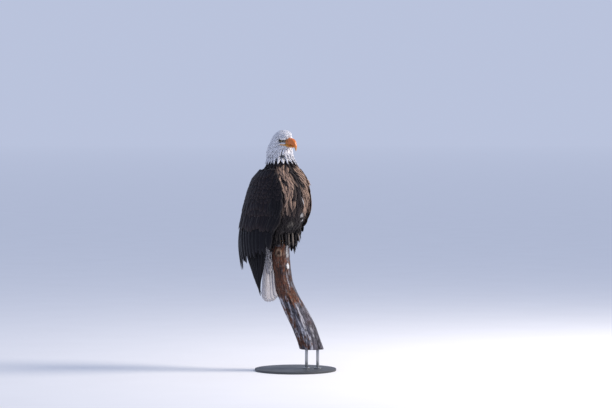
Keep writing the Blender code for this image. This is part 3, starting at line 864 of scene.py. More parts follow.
def scatter(surface, chosen, spacing, rng):
    """Places spread over the chosen faces, no two nearer than the spacing, and the face of each."""
    weight = surface.area * chosen
    count = int(weight.sum() / spacing**2 * 4.0)
    faces = rng.choice(len(weight), count, p=weight / weight.sum())
    u, v = rng.random((2, count))
    flip = u + v > 1
    u, v = np.where(flip, 1 - u, u), np.where(flip, 1 - v, v)
    a, b, c = (surface.points[surface.corners[faces, i]] for i in range(3))
    places = a + (b - a) * u[:, None] + (c - a) * v[:, None]
    cells = np.floor(places / spacing).astype(int).tolist()
    taken, kept = {}, []
    steps = [(x, y, z) for x in (-1, 0, 1) for y in (-1, 0, 1) for z in (-1, 0, 1)]
    for i, ((x, y, z), place) in enumerate(zip(cells, places.tolist())):
        around = (taken.get((x + dx, y + dy, z + dz), ()) for dx, dy, dz in steps)
        if not any(math.dist(other, place) < spacing for cell in around for other in cell):
            taken.setdefault((x, y, z), []).append(place)
            kept.append(i)
    return places[kept], faces[kept]


def lie_of_coat(points):
    """The direction in which the feathers point, at each place of the body."""
    height = points[:, 2]
    local = head_frame(points)
    # On the head they stream back from the root of the bill
    from_bill = local - np.array([0.0, BILL_ROOT + 0.012, 0.4640])
    stream = unit(from_bill) + np.array([0.0, -0.25, -0.35])
    head = from_head_frame(stream) - from_head_frame(np.zeros(3))
    # Down the body, slanting on the breast along its tracts
    turn = np.radians(turn_of(points))
    round_body = np.stack([np.cos(turn), np.sin(turn), 0 * turn], 1)
    down = np.zeros((len(points), 3))
    down[:, 2] = -1
    front = breast_share(points)
    slant = 0.42 * bell(height - 0.310, 0.035) * front
    gather = -0.30 * np.sin(2 * np.pi * tract_turn(points) / TRACT) * front
    neck = smooth(height, 0.345, 0.365) * (1 - smooth(height, 0.400, 0.425))
    lock = -0.55 * np.sin(np.radians(turn_of(points)) * 26) * neck
    body = down + round_body * (slant + gather + lock)[:, None]
    share = smooth(height, 0.405, 0.445)[:, None]
    return unit(body * (1 - share) + unit(head) * share)


def walk(surface, roots, faces, length, rng, stray, hanging=None, sharp=0.45, gap=0.85):
    """Lines of this length over the skin from their roots, along the lie of the coat. A line
    doesn't bend round an edge, but runs on straight, and a hanging one leaves the skin at once."""
    at = roots.copy()
    up = surface.normal[faces]
    turn = rng.normal(0, stray, len(roots))[:, None]
    hanging = np.zeros(len(roots), bool) if hanging is None else hanging
    lines, ups = [at], [up]
    stride = (np.broadcast_to(length, len(roots)) / WALK_STEPS)[:, None]
    heading = None
    for _ in range(WALK_STEPS):
        ahead = lie_of_coat(at - AT)
        flat = unit(ahead - up * (ahead * up).sum(1, keepdims=True))
        ahead = np.where(hanging[:, None], unit(ahead + up * 0.12), flat)
        ahead = ahead * np.cos(turn) + np.cross(up, ahead) * np.sin(turn)
        heading = ahead if heading is None else unit(heading * 0.5 + ahead * 0.5)
        onward = at + heading * stride
        found, hit = surface.nearest(onward)
        new_up = surface.normal[hit]
        off = np.linalg.norm(found - onward, axis=1, keepdims=True)
        edge = ((new_up * up).sum(1, keepdims=True) < sharp) | (off > stride * gap)
        edge |= hanging[:, None]
        at = np.where(edge, onward, found)
        up = np.where(edge, up, unit(up * 0.5 + new_up * 0.5))
        lines.append(at)
        ups.append(up)
    return np.stack(lines, 1), np.stack(ups, 1)


def raised(lines, ups, root_height, tip_height):
    """The lines lifted off the skin, from their roots to their tips."""
    share = np.linspace(0, 1, lines.shape[1]) ** RISE
    tip = np.broadcast_to(tip_height, len(lines))[:, None]
    return lines + ups * (root_height + (tip - root_height) * share)[..., None]


# ---------------------------------------------------------------- small feathers


def open_to_air(surface, places, faces):
    """False where a root lies close under another part of the body, as between wing and flank."""
    found = []
    for place, up in zip(places, surface.normal[faces]):
        up = Vector(up)
        found.append(surface.tree.ray_cast(Vector(place) + up * 0.002, up, 0.035)[0] is None)
    return np.array(found, bool)


def coat_regions(surface):
    """For each kind of feather, true at the faces of the skin that it grows on."""
    points = surface.middle - AT
    height = points[:, 2]
    local = head_frame(points)
    bare = bare_share(points) > 0.5
    ahead = from_head_frame(np.array([[0.0, 1.0, 0.0], [0.0, 0.0, 0.0]]))
    under_bill = (local[:, 1] > BILL_ROOT - 0.003) & (surface.normal @ (ahead[0] - ahead[1]) > 0.75)
    under_bill &= (height > 0.441) & (height < 0.482) & (np.abs(local[:, 0]) < 0.017)
    head = (height > 0.438) & ~bare & ~under_bill
    from_bill = np.linalg.norm(local - np.array([0.0, BILL_ROOT, 0.465]), axis=1)
    face = head & (from_bill < 0.040)
    foot = hackle_foot(points)
    neck = (height <= 0.438) & (height > foot)
    on_wing = np.zeros(len(points), bool)
    for side, _ in SIDES:
        solid = Surface(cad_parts["wing_" + side])
        low, high = box_of("wing_" + side)
        near = np.flatnonzero(((points > low) & (points < high)).all(1))
        places, _ = solid.nearest(surface.middle[near])
        off = np.linalg.norm(places - surface.middle[near], axis=1)
        on_wing[near] |= off < WING_DEPTH + 0.0015
        cut = (surface.normal[near, 2] < 0.20) & (points[near, 2] < WING_FLESH_FOOT + 0.035)
        cut &= np.abs(turn_of(points[near])) > 34
        on_wing[near] |= cut & (off < 0.0095)
    out = (surface.normal[:, :2] * unit(points[:, :2] - np.array(WING_AXIS[:2]))).sum(1)
    inner_wing = on_wing & (out < -0.35) & (height > WING_FLESH_FOOT + 0.015) & (height < 0.30)
    wing_edge = on_wing & (out >= -0.35) & (out < 0.45) & (points[:, 1] < 0) & (points[:, 0] > 0)
    wing_edge &= (height > 0.110) & (height < 0.320)
    thigh = (np.abs(points[:, 0]) > 0.020) & (height < 0.030) & (points[:, 1] < 0.012) & ~on_wing
    vent = (body_colours(points)[0][:, 0] > 0.5) & (height < 0.100)
    body = (height <= foot - 0.004) & ~on_wing & ~thigh & ~vent
    return {
        "face": face, "head": head & ~face, "neck": neck, "body": body, "thigh": thigh,
        "vent": vent & ~on_wing, "inner_wing": inner_wing, "wing_edge": wing_edge,
    }


# Distance between roots, length, half width, height of the tips over the skin, sharpness of the
# tips, stray from the lie of the coat in radians, unevenness of shade, arch, raggedness
KINDS = {
    "face": (0.0021, 0.0092, 0.0013, 0.0019, 0.55, 0.10, 0.04, 0.20, 0.05),
    "head": (0.0027, 0.0160, 0.0017, 0.0052, 0.65, 0.09, 0.04, 0.20, 0.05),
    "neck": (0.0035, 0.0290, 0.0031, 0.0085, 0.80, 0.10, 0.05, 0.35, 0.05),
    "body": (0.0070, 0.0360, 0.0088, 0.0095, 0.45, 0.12, 0.10, 0.30, 0.05),
    "thigh": (0.0075, 0.0340, 0.0065, 0.0050, 0.75, 0.14, 0.10, 0.35, 0.10),
    "vent": (0.0090, 0.0420, 0.0095, 0.0055, 0.35, 0.10, 0.04, 0.20, 0.05),
    "inner_wing": (0.0150, 0.0480, 0.0150, 0.0030, 0.20, 0.12, 0.06, 0.20, 0.05),
    "wing_edge": (0.0085, 0.0280, 0.0080, 0.0032, 0.30, 0.10, 0.10, 0.20, 0.05),
}


def near_bare_skin(points, lines):
    """True for a root below the eye whose feather would lie over the bare skin round it."""
    forward, up = eye_offset(head_frame(points))
    under = (up < 0.003) | (forward < -0.006)
    over = [bare_share(lines[:, k] - AT) > 0.5 for k in (3, 6)]
    near_eye = np.hypot(*eye_offset(head_frame(lines[:, 4] - AT))) < 0.016
    return under & near_eye & (over[0] | over[1])


def stands_clear(surface, name, points, lines, faces, lengths):
    """True for a feather that lies down on the body all the way to its tip."""
    # None sticks out where it would run off the body
    _, under = surface.nearest(lines[:, -1])
    off = np.linalg.norm(surface.middle[under] - lines[:, -1], axis=1)
    drop = lines[:, -1, 2] - lines[:, -3, 2]
    shown = (off < 0.009) & ((drop < -0.25 * lengths / 3) | (points[:, 2] > 0.365))
    # ... or comes out on the far side of a wing
    shown &= ((surface.normal[under] * surface.normal[faces]).sum(1) > 0.0) | (name == "vent")
    return shown | ((points[:, 2] < 0.07) & (name == "body"))


def grow(coat, vane, surface, region, name):
    """Feathers of one kind on one region of the skin."""
    spacing, length, half_width, height, point, stray, variety, arch, ragged = KINDS[name]
    rng = coat.rng
    roots, faces = scatter(surface, region, spacing, rng)
    roots, faces = only(open_to_air(surface, roots, faces), roots, faces)
    points = roots - AT
    if name == "body":  # fewer in the gaps between the breast's tracts
        thin = breast_share(points) * (1 - tract_crest(points)) * 0.12
        roots, faces, points = only(rng.random(len(points)) > thin, roots, faces, points)
    size = rng.uniform(0.86, 1.14, len(roots))
    lengths = length * size
    heights = height * rng.uniform(0.85, 1.1, len(roots))
    tint, edge = body_colours(points)
    if name == "body":
        share = breast_share(points)
        crest = tract_crest(points)
        lengths = lengths * (1 + 0.35 * share * crest)
        heights = heights * (1 + share * (0.75 * crest - 0.62))
        # Scapulars: long broad feathers of the back, which close the groove between the wings
        back = smooth(np.abs(turn_of(points)), 132, 156) * (1 - smooth(points[:, 2], 0.34, 0.36))
        lengths = lengths * (1 + 0.55 * back)
        heights = heights + 0.0030 * back
        half_width = half_width * (1 + 0.45 * back) * (1 - 0.28 * share)
        # Flatter and shorter over the wing's shoulder, where they run in among its coverts
        shoulder = smooth(np.abs(turn_of(points)), 44, 58) * smooth(points[:, 2], 0.27, 0.30)
        shoulder = shoulder * (1 - back)
        heights = heights * (1 - 0.65 * shoulder)
        lengths = lengths * (1 - 0.15 * shoulder)
        point = np.minimum(point + 0.35 * (share * (0.5 + 0.5 * crest)), 0.9)
    if name == "neck":
        fringe = 1 - smooth(points[:, 2] - hackle_foot(points), 0.004, 0.022)
        lengths = lengths * (1 + 0.15 * fringe)
        heights = heights * (1 + 0.25 * fringe)
    hanging = None
    if name in ("body", "thigh"):
        # Belly and trousers hang as a fringe over the feet
        normal, turn = surface.normal[faces], turn_of(points)
        ahead = smooth(-normal[:, 1], -0.3, 0.3) * (1 - smooth(points[:, 2], 0.040, 0.062))
        hanging = (ahead > 0.3) & (normal[:, 2] > -0.80)
        strand = bell(turn - 16, 11)  # the left leg's trousers hang lowest
        foot = rng.uniform(-0.010, 0.008, len(roots))
        foot = foot - 0.034 * strand * rng.uniform(0.5, 1.0, len(roots))
        foot = foot + 0.012 * smooth(turn, 34, 50) - 0.007 * bell(turn + 28, 34)
        lengths = np.where(hanging, np.maximum(lengths, points[:, 2] - foot), lengths)
        lengths = np.clip(lengths, 0.020, 0.062 + 0.030 * strand)
        heights = np.where(hanging, heights * 0.4, heights)
        point = np.minimum(point + 0.35 * hanging, 0.9)
        half_width = half_width * (1 - 0.35 * hanging)
    sharp, gap = (-0.5, 2.0) if name == "body" else (0.45, 0.85)
    lines, ups = walk(surface, roots, faces, lengths, rng, stray, hanging, sharp, gap)
    shown = np.ones(len(lines), bool)
    if name in ("face", "head"):
        shown = ~near_bare_skin(points, lines)
    if name in ("body", "inner_wing", "wing_edge", "vent"):
        shown = stands_clear(surface, name, points, lines, faces, lengths)
    lines, ups, faces, heights, tint, edge, size, half_width, point = only(
        shown, lines, ups, faces, heights, tint, edge, size, half_width, point
    )
    lines = raised(lines, ups, 0.0004, heights)
    shade = rng.normal(1.0, variety, len(lines)).clip(0.7, 1.35)[:, None]
    wide = half_width * size * rng.uniform(0.9, 1.1, len(lines))
    coat.add(
        vane, lines, ups, wide, tint * shade, edge * shade, faces, point, arch=arch, ragged=ragged
    )


# ---------------------------------------------------------------- wings

COVERT_SEED, SECONDARY_SEED, PRIMARY_SEED, TAIL_SEED = 31, 51, 71, 17
SECONDARIES = 15
PRIMARIES = 8
SCAPULAR_ROWS = 12
WING_FACE = (30, 190)  # degrees from the front, where a wing's outer face is looked for


class Drape:
    """The outer face of a folded wing or of its primaries, as seen from outside: share runs from
    its front edge to its back edge."""

    def __init__(self, node, sign):
        self.surface = Surface(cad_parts[node])
        self.sign = sign
        low, high = (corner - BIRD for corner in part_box(node))
        self.low, self.high = low.z, high.z
        self.heights = np.arange(low.z + 0.004, high.z - 0.002, 0.008)
        edges = []
        for height in self.heights:
            seen = [a for a in np.arange(*WING_FACE, 1.5) if self.look(a, height)[0] is not None]
            edges.append((min(seen), max(seen)) if seen else (np.nan, np.nan))
        edges = np.array(edges)
        known = ~np.isnan(edges[:, 0])
        self.heights, edges = self.heights[known], edges[known]
        kernel = np.array([0.25, 0.5, 0.25])
        for _ in range(2):  # evens out the steps between the angles that were tried
            edges[1:-1] = sum(k * edges[i : len(edges) - 2 + i] for i, k in enumerate(kernel))
        self.front, self.back = edges.T

    def look(self, angle, height):
        turn = math.radians(angle)
        out = Vector((self.sign * math.sin(turn), -math.cos(turn), 0))
        start = BIRD + WING_AXIS + Vector((0, 0, height)) + out * 0.4
        return self.surface.hit(start, -out)

    def angle(self, share, height):
        front = np.interp(height, self.heights, self.front)
        return front + (np.interp(height, self.heights, self.back) - front) * share

    def foot(self, angle_at, top):
        """The lowest height at which the face is met, where angle_at gives the angle to look from
        at each height."""
        for height in np.arange(self.low + 0.001, top, 0.003):
            if self.look(angle_at(height), height)[0] is not None:
                return height
        return top

    def line(self, root, tip, depth_root, depth_tip, upright):
        """A line on the outer face from one (share, height) to another, sunk a little under it.
        An upright one is given by its angle in place of its share."""
        places, ups = [], []
        missed = 0
        for t in (k / LINE_STEPS for k in range(LINE_STEPS + 1)):
            share, height = (root[i] + (tip[i] - root[i]) * t for i in (0, 1))
            angle = share if upright else self.angle(min(max(share, 0.02), 0.965), height)
            place, up = self.look(angle, height)
            if place is None and len(places) > 1:
                missed += 1
                place, up = places[-1] * 2 - places[-2], ups[-1]
            if place is not None:
                places.append(place)
                ups.append(up)
        if len(places) < 11 or missed > (5 if upright else 2):
            return None, None
        while len(places) < LINE_STEPS + 1:  # a root above the top edge
            places.insert(0, places[0] * 2 - places[1])
            ups.insert(0, ups[0])
        places, ups = np.array(places), np.array(ups)
        # Near the tip, a step off the edge is left out
        for k in range(LINE_STEPS - 2, LINE_STEPS + 1):
            last = places[k - 1] - places[k - 2]
            if np.linalg.norm(places[k] - places[k - 1] - last) > 0.4 * np.linalg.norm(last):
                places[k], ups[k] = places[k - 1] + last, ups[k - 1]
        for _ in range(3):
            for row in (places, ups):
                row[1:-1] = row[:-2] * 0.25 + row[1:-1] * 0.5 + row[2:] * 0.25
        ups = unit(unit(ups) + unit(ups).mean(0))  # the vane doesn't twist
        share = np.linspace(0, 1, LINE_STEPS + 1) ** RISE
        depth = depth_root + (depth_tip - depth_root) * share
        return places - ups * depth[:, None], ups


def rooted(skin, *rows):
    """Lists of lines, ups and widths as arrays, and the skin's faces at the lines' roots."""
    lines, ups, widths = (np.array(row) for row in rows)
    return lines, ups, widths, skin.nearest(lines[:, 0])[1]


def lay_row(coat, drape, skin, vane, row, tints, sunk, step=0.0, upright=False, **form):
    """A row of like feathers. Each entry of row is the share and height of its root and of its
    tip, and its half width. sunk is how deep its root and tip lie, and step how much deeper each
    one lies than the last."""
    lines, ups, widths = [], [], []
    for k, (share, top, tip_share, foot, half_width) in enumerate(row):
        depths = (depth + step * k for depth in sunk)
        line, up = drape.line((share, top), (tip_share, foot), *depths, upright)
        if line is not None:
            lines.append(line)
            ups.append(up)
            widths.append(half_width)
    lines, ups, widths, faces = rooted(skin, lines, ups, widths)
    tint, edge = tints(lines[:, 0] - AT, len(lines))
    shade = coat.rng.normal(1.0, 0.09, len(lines)).clip(0.7, 1.3)[:, None]
    tint, edge = tint * shade, edge * shade
    coat.add(vane, lines, ups, widths, tint, edge, faces, lead_side=drape.sign, **form)


def covert_tints(sign):
    """Coverts: blackish brown with paler margins. The left wing's shoulder is a paler brown, partly
    painted sunlight, and the front of the right wing is darkened as painted shade.
    """

    def tints(points, count):
        own = plumage()
        tint, edge = repeated(own.covert, count), repeated(own.covert_edge, count)
        if sign > 0:
            # The left wing's shoulder: a paler brown with paler margins, partly painted sunlight
            lit = (1 - smooth(np.abs(turn_of(points)), 56, 80)) * smooth(points[:, 2], 0.06, 0.14)
            tint = blend(tint, own.shoulder, 0.85 * lit)
            edge = blend(edge, own.worn_tip, 0.20 * lit)
        else:
            # Painted shade: the front of the right wing is darkened towards the primaries' black
            front = 1 - smooth(np.abs(turn_of(points)), 48, 70)
            tint = blend(tint, own.hand, 0.75 * front)
            edge = blend(edge, own.flight_edge, 0.6 * front)
        return tint, edge

    return tints


def even_tints(tint, edge):
    return lambda points, count: (repeated(tint, count), repeated(edge, count))


def staggered_row(drape, rng, height, length, gap, half_width, late):
    """One row of coverts across the wing, each a little uneven. A late row starts half a feather
    further back."""
    front, back = drape.angle(0, height), drape.angle(1, height)
    across = math.radians(back - front) * 0.15
    count = max(6, round(across / gap))
    row = []
    for k in range(count + 1):
        share = (k + (0.5 if late else 0.0)) / count
        if share > 1.0:
            continue
        top = height + rng.normal(0, 0.0030)
        foot = top - length * rng.uniform(0.88, 1.12)
        wide = half_width * rng.uniform(0.92, 1.08)
        tip = share + 0.03 * rng.uniform(0.5, 1.2)
        row.append((share + rng.normal(0, 0.006), top, tip, foot, wide))
    return row


def make_coverts(side, sign, skin):
    drape = Drape("wing_" + side, sign)
    coat = Coat(skin, COVERT_SEED + sign)
    small, middle = Vane(LENS, BODY_ROWS), Vane(QUILLED, FLIGHT_ROWS[::2])
    rng = coat.rng
    tints = covert_tints(sign)
    for k in range(-1, 8):
        height = min(0.332 - 0.0160 * k, 0.340)
        row = staggered_row(drape, rng, height, 0.038, 0.0185, 0.0128, k % 2)
        sunk = (0.0036, 0.0004)
        lay_row(coat, drape, skin, small, row, tints, sunk, point=0.12, arch=0.16)
    for k, height in enumerate((0.204, 0.180)):
        row = staggered_row(drape, rng, height, 0.062, 0.0210, 0.0150, k % 2)
        lay_row(coat, drape, skin, small, row, tints, (0.0036, -0.0012), point=0.15, arch=0.12)
    row = staggered_row(drape, rng, 0.156, 0.098, 0.0225, 0.0175, 0)
    lay_row(coat, drape, skin, middle, row, tints, (0.0036, -0.0030), point=0.20, arch=0.10)
    hand = even_tints(plumage().hand, plumage().flight_edge)
    alula = [
        (0.012 + 0.030 * k, 0.222, 0.010 + 0.034 * k, 0.100 + 0.012 * k, 0.011) for k in range(4)
    ]
    shades = tints if sign > 0 else hand
    lay_row(coat, drape, skin, middle, alula, shades, (0.003, -0.0042), point=0.35, lead=0.6)
    over_hand = [
        (0.015 + 0.030 * k, 0.142, 0.012 + 0.032 * k, 0.004 - 0.012 * k, 0.0125) for k in range(5)
    ]
    lay_row(coat, drape, skin, middle, over_hand, hand, (0.004, 0.0008), point=0.35, lead=0.6)
    return coat, drape


def make_secondaries(coat, drape, skin):
    """Long flight feathers under the coverts, the inner ones on top, and the tertials over them."""
    quill = Vane(QUILLED, FLIGHT_ROWS)
    rng = coat.rng
    row = []
    for k in range(SECONDARIES):
        angle = drape.angle((k + 0.4) / SECONDARIES, 0.098)
        tip = min(angle + 4 + rng.normal(0, 1.0), drape.angle(1.0, -0.05) - 2)
        foot = drape.foot(lambda height: tip, drape.low + 0.25) - 0.010 + rng.normal(0, 0.003)
        row.append((angle, 0.098, tip, foot, 0.0215 * rng.uniform(0.95, 1.05)))
    tints = even_tints(plumage().flight, plumage().flight_edge)
    form = {"point": 0.45, "ragged": 0.03, "arch": 0.16, "lead": 0.60, "widest": 0.66}
    # The innermost lies outermost
    lay_row(coat, drape, skin, quill, row[::-1], tints, (0.0034, -0.0055), 0.0002, True, **form)
    inner = [
        (0.84 + 0.045 * k, 0.150, 0.86 + 0.045 * k, 0.010 - 0.022 * k, 0.019) for k in range(4)
    ]
    lay_row(coat, drape, skin, quill, inner, tints, (0.0030, 0.0004), -0.0001, **form)


def make_primaries(side, sign, skin):
    drape = Drape("primaries_" + side, sign)
    coat = Coat(skin, PRIMARY_SEED + sign)
    quill = Vane(QUILLED, FLIGHT_ROWS)
    rng = coat.rng
    shares = np.linspace(0, 1, 61)
    feet = [drape.foot(lambda height: drape.angle(s, height), drape.high) for s in shares]
    row = []
    for k in range(PRIMARIES):
        share = (k + 0.5) / PRIMARIES
        # The third from the front is the longest; those behind it end one above another
        short = 0.013 * max(k - 2, 0) ** 1.1 + 0.010 * max(2 - k, 0)
        foot = float(np.interp(share, shares, feet)) - 0.004 + short + rng.normal(0, 0.002)
        # Those in front lean back towards the tip, clear of the tail
        row.append((share, 0.036, 0.50 + 0.44 * share, foot, 0.0200 * rng.uniform(0.95, 1.05)))
    form = {"point": 0.40, "ragged": 0.02, "arch": 0.10, "lead": 0.55, "widest": 0.62}
    tints = even_tints(plumage().hand, plumage().flight_edge)
    lay_row(coat, drape, skin, quill, row[::-1], tints, (0.0016, 0.0006), 0.0006, **form)
    return coat


def close_back(coat, vane, skin):
    """Long scapulars that bridge the groove between the folded wings, in staggered rows."""
    rng = coat.rng
    wings = [(Surface(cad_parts["wing_" + side]), sign) for side, sign in SIDES]
    heights = np.arange(-0.04, 0.345, 0.006)
    behind = []
    for height in heights:
        seen = []
        for wing, sign in wings:
            for reach in (0.030, 0.040, 0.050):
                start = BIRD + Vector((sign * reach, 0.4, height))
                place = wing.hit(start, Vector((0, -1, 0)))[0]
                if place is not None:
                    seen.append(place[1] - BIRD.y)
        behind.append(np.median(seen) if seen else np.nan)
    behind = np.array(behind)
    known = ~np.isnan(behind)
    fit = np.polyfit(heights[known], behind[known], 4)
    lines, ups, widths = [], [], []
    for k in range(SCAPULAR_ROWS):
        top, length = 0.325 - 0.020 * k, 0.062 + 0.004 * k
        for place in (-1.0, 0.0, 1.0) if k % 2 else (-1.5, -0.5, 0.5, 1.5):
            along = np.linspace(0, 1, 7)
            height = top + rng.normal(0, 0.003) - length * along
            out = place * 0.0150 * (1 + 0.2 * along) + rng.normal(0, 0.0012)
            level = np.polyval(fit, height) - 0.0075 + 0.0035 * along - 0.0015 * place**2
            lines.append(np.stack([out, level, height], 1) + AT)
            lean = 0.22 * place
            ups.append(np.tile([math.sin(lean), math.cos(lean), 0.0], (7, 1)))
            widths.append(0.0125 * rng.uniform(0.9, 1.1))
    lines, ups, widths, faces = rooted(skin, lines, ups, widths)
    count = len(lines)
    shade = rng.normal(1, 0.08, (count, 1))
    own = plumage()
    tint, edge = repeated(own.covert, count) * shade, repeated(own.covert_edge, count) * shade
    coat.add(vane, lines, ups, widths, tint, edge, faces, point=0.25, arch=0.25)


def make_tail_feathers(skin):
    """Twelve tail feathers in six pairs, the middle ones outermost on the back."""
    coat = Coat(skin, TAIL_SEED)
    quill = Vane(QUILLED, FLIGHT_ROWS)
    rng = coat.rng
    low, high = box_of("tail")
    reach = (high[0] - low[0]) / 2
    along = np.linspace(0, 1, LINE_STEPS + 1)
    lines, ups, widths = [], [], []
    for under in (1, 0):
        for k in range(6):
            place = (k - 2.5) / 3 + 0.05 * under * (1 if k > 2 else -1)
            foot = low[2] - 0.006 + 0.022 * place**2 + 0.006 * under + rng.normal(0, 0.0012)
            height = 0.055 + (foot - 0.055) * along
            out = place * (0.012 + (reach - 0.004 - 0.012) * along**0.8)
            behind = 0.0835 - 0.0115 * smooth(along, 0.0, 0.6) - 0.0095 * place**2
            behind = behind - 0.0012 - 0.0005 * abs(k - 2.5) - 0.0005 * under
            lines.append(np.stack([out, behind, height], 1) + AT)
            lean = 0.35 * place
            ups.append(np.tile([math.sin(lean), math.cos(lean), 0.0], (LINE_STEPS + 1, 1)))
            widths.append(0.0215)
    lines, ups, widths, faces = rooted(skin, lines, ups, widths)
    count = len(lines)
    # The tail's light grey is its white painted down as shade
    tint = repeated(plumage().tail, count) * rng.normal(1, 0.02, (count, 1))
    edge = repeated(linear("d6d5dc"), count)
    coat.add(
        quill, lines, ups, widths, tint, edge, faces,
        point=0.0, ragged=0.02, arch=0.02, widest=0.91, root=0.25,
    )
    return coat


# ---------------------------------------------------------------- eyes, bill, feet

# The straw of the iris is duller and darker than a live eagle's pale yellow: painted shade under
# the brow
IRIS = (  # from its middle out
    (0.0, "050506"), (0.33, "060607"), (0.37, "5e4f2c"), (0.50, "978759"),
    (0.66, "857548"), (0.74, "2a2116"), (1.0, "141013"),
)
NOSTRIL_HEIGHT = 0.4700
ANKLE = (0.0250, -0.004)  # out to the bird's side, and behind it
PLATE_GAP = 0.0036
RING_GAP = 0.0040
JOINT_GAP = 0.0135  # between the pads under the toes


def eye_material():
    """A glass eye as a taxidermist sets: a black pupil, a dull straw iris with fine spokes and a
    dark rim, under a clear, wet-looking face. The iris's dull, dark straw is partly painted shade
    under the brow."""
    made, tree = new_material("glass_eye")
    iris = attribute(tree, "iris", 1)
    radius = add_node(tree, "SeparateXYZ", n0=iris).outputs[0]
    ramp = add_node(tree, "ValToRGB", Fac=radius)
    elements = ramp.color_ramp.elements
    while len(elements) < len(IRIS):
        elements.new(0.5)
    for element, (place, code) in zip(elements, IRIS):
        element.position = place
        element.color = opaque(code)
    colour = varied(tree, ramp.outputs[0], noised(tree, iris, 9.0, 3.0), 0.7, 1.2)
    return finish_material(
        made, Base_Color=colour, Roughness=0.12, IOR=1.50, Specular_IOR_Level=0.35,
        Coat_Weight=0.25, Coat_Roughness=0.03,
    )


def make_eye(side, sign, material):
    """A ball with a slightly bulging clear front, looking out and a little forward."""
    ahead = np.array([[sign * 0.90, 0.42, 0.0]]) + [[0, -HEAD_MIDDLE, 0]]
    gaze = Vector(from_head_frame(ahead)[0])
    gaze.z = -0.03
    obj = added(
        "glass_eye_" + side, "uv_sphere", segments=48, ring_count=32, radius=EYE_RADIUS,
        location=BIRD + Vector(from_head_frame(EYES[sign][None])[0]),
        rotation=gaze.to_track_quat("Z", "Y").to_euler(),
    )
    points = points_of(obj)
    across = np.hypot(points[:, 0], points[:, 1])
    front = points[:, 2] > 0
    points[:, 2] += np.where(front, 0.0007 * (1 - smooth(across, 0.0030, 0.0066)), 0)
    move_points(obj, points)
    reach = np.where(front, across / 0.0092, 1.0)
    turn = np.arctan2(points[:, 1], points[:, 0])
    note(obj, "iris", np.stack([reach, 3 * np.cos(turn), 3 * np.sin(turn)], 1))
    place_mesh(obj)
    obj.data.shade_smooth()
    return finish_piece(obj, material, ["eye_" + side])


def fine_copy(name, node, voxel, rounds):
    """A copy of a solid with an even, fine and smooth surface."""
    obj = merged_copy(name, node)
    remesh(obj, voxel, rounds)
    return obj


def mottled(tint, points, share, scale):
    """A tint made a little uneven from place to place."""
    return np.clip(tint * (1 + share * fractal(points * scale, 2))[:, None], 0, 1)


def make_bill_half(name, node, material):
    """Horn of the bill: the raised cere with its slit nostrils, and the hook's worn tip."""
    obj = fine_copy(name, node, BILL_VOXEL, 10)
    points, normals = points_of(obj), normals_of(obj)
    local = head_frame(points - AT)
    side, forward, height = np.abs(local[:, 0]), local[:, 1], local[:, 2]
    flank = smooth(side, 0.004, 0.008)
    out = np.full(len(points), 0.00035)  # what the smoothing took
    upper = node == "bill_upper"
    if upper:
        cere_edge = 0.0665 + 0.10 * (height - 0.465)
        out += 0.0010 * (1 - smooth(forward, cere_edge - 0.0010, cere_edge + 0.0010))
        above = height - NOSTRIL_HEIGHT
        slit = np.hypot((forward - 0.0615 + 0.35 * above) / 0.0019, above / 0.0042)
        out += 0.0004 * (bell(slit - 1.25, 0.35) * flank)
        out -= 0.0030 * (1 - smooth(slit, 0.35, 1.0)) * flank
        tooth = bell(forward - 0.083, 0.006) * bell(height - 0.4495, 0.003)
        out += 0.0003 * tooth
    out += 0.00010 * fractal(points * np.array([260.0, 90.0, 260.0]), 2)
    points = points + normals * out[:, None]
    if not upper:  # its edges shut up inside the upper half
        points[:, 2] += 0.0024 * smooth(normals[:, 2], 0.2, 0.7)
    move_points(obj, points)
    share = smooth(forward, 0.0655, 0.0680) if upper else smooth(forward, 0.056, 0.066)
    tint = washed(repeated(linear("bb6f2c"), len(points)), ("cb6a1c", share))
    if upper:
        tip = (1 - smooth(height, 0.430, 0.452)) * 0.85
        # The nostril's slit is painted near black: a painted shadow in its hollow
        tint = washed(tint, ("cf9a44", tip), ("2a1c12", (1 - smooth(slit, 0.55, 1.0)) * flank))
    else:
        tint = washed(tint, ("cf8a33", 0.7))
    paint(obj, "tint", mottled(tint, points, 0.10, 140.0))
    return finish_piece(obj, material, [node])


def make_gape(side, sign, skin, material):
    """The yellow corner of the mouth: a soft fold from the bill's root back to under the eye."""

    def place_at(across, forward, height):
        return from_head_frame(np.array([[across, forward, height]]))[0]

    points = []
    for t in (k / 6 for k in range(7)):
        forward = GAPE_ROOT - GAPE_LENGTH * t
        height = float(gape_height(forward))
        start, end = place_at(sign * 0.1, forward, height), place_at(0.0, forward, height)
        place, _ = skin.hit(AT + start, end - start)
        inner = AT + place_at(sign * 0.0112, 0.060, height)
        points.append(inner if place is None or t == 0 else place + unit(start - end) * 0.0014)
    curve = bpy.data.curves.new("gape_" + side, "CURVE")
    curve.dimensions = "3D"
    curve.bevel_depth = 1.0
    curve.bevel_resolution = 3
    curve.resolution_u = 6
    curve.use_fill_caps = True
    spline = curve.splines.new("POLY")
    spline.points.add(len(points) - 1)
    for k, (point, place) in enumerate(zip(spline.points, points)):
        point.co = (*place, 1)
        point.radius = 0.0033 * (1 - k / 6) ** 0.8 + 0.0007
    obj = new_object("gape_" + side, curve)
    select_only(obj)
    bpy.ops.object.convert(target="MESH")
    with edit_mode():
        bpy.ops.mesh.remove_doubles(threshold=0.00005)
        bpy.ops.mesh.normals_make_consistent(inside=False)
    apply_modifier(obj, "SUBSURF", levels=2, render_levels=2)
    points = points_of(obj)
    paint(obj, "tint", mottled(repeated(linear("d89a2a"), len(points)), points, 0.12, 300.0))
    obj.data.shade_smooth()
    return finish_piece(obj, material)


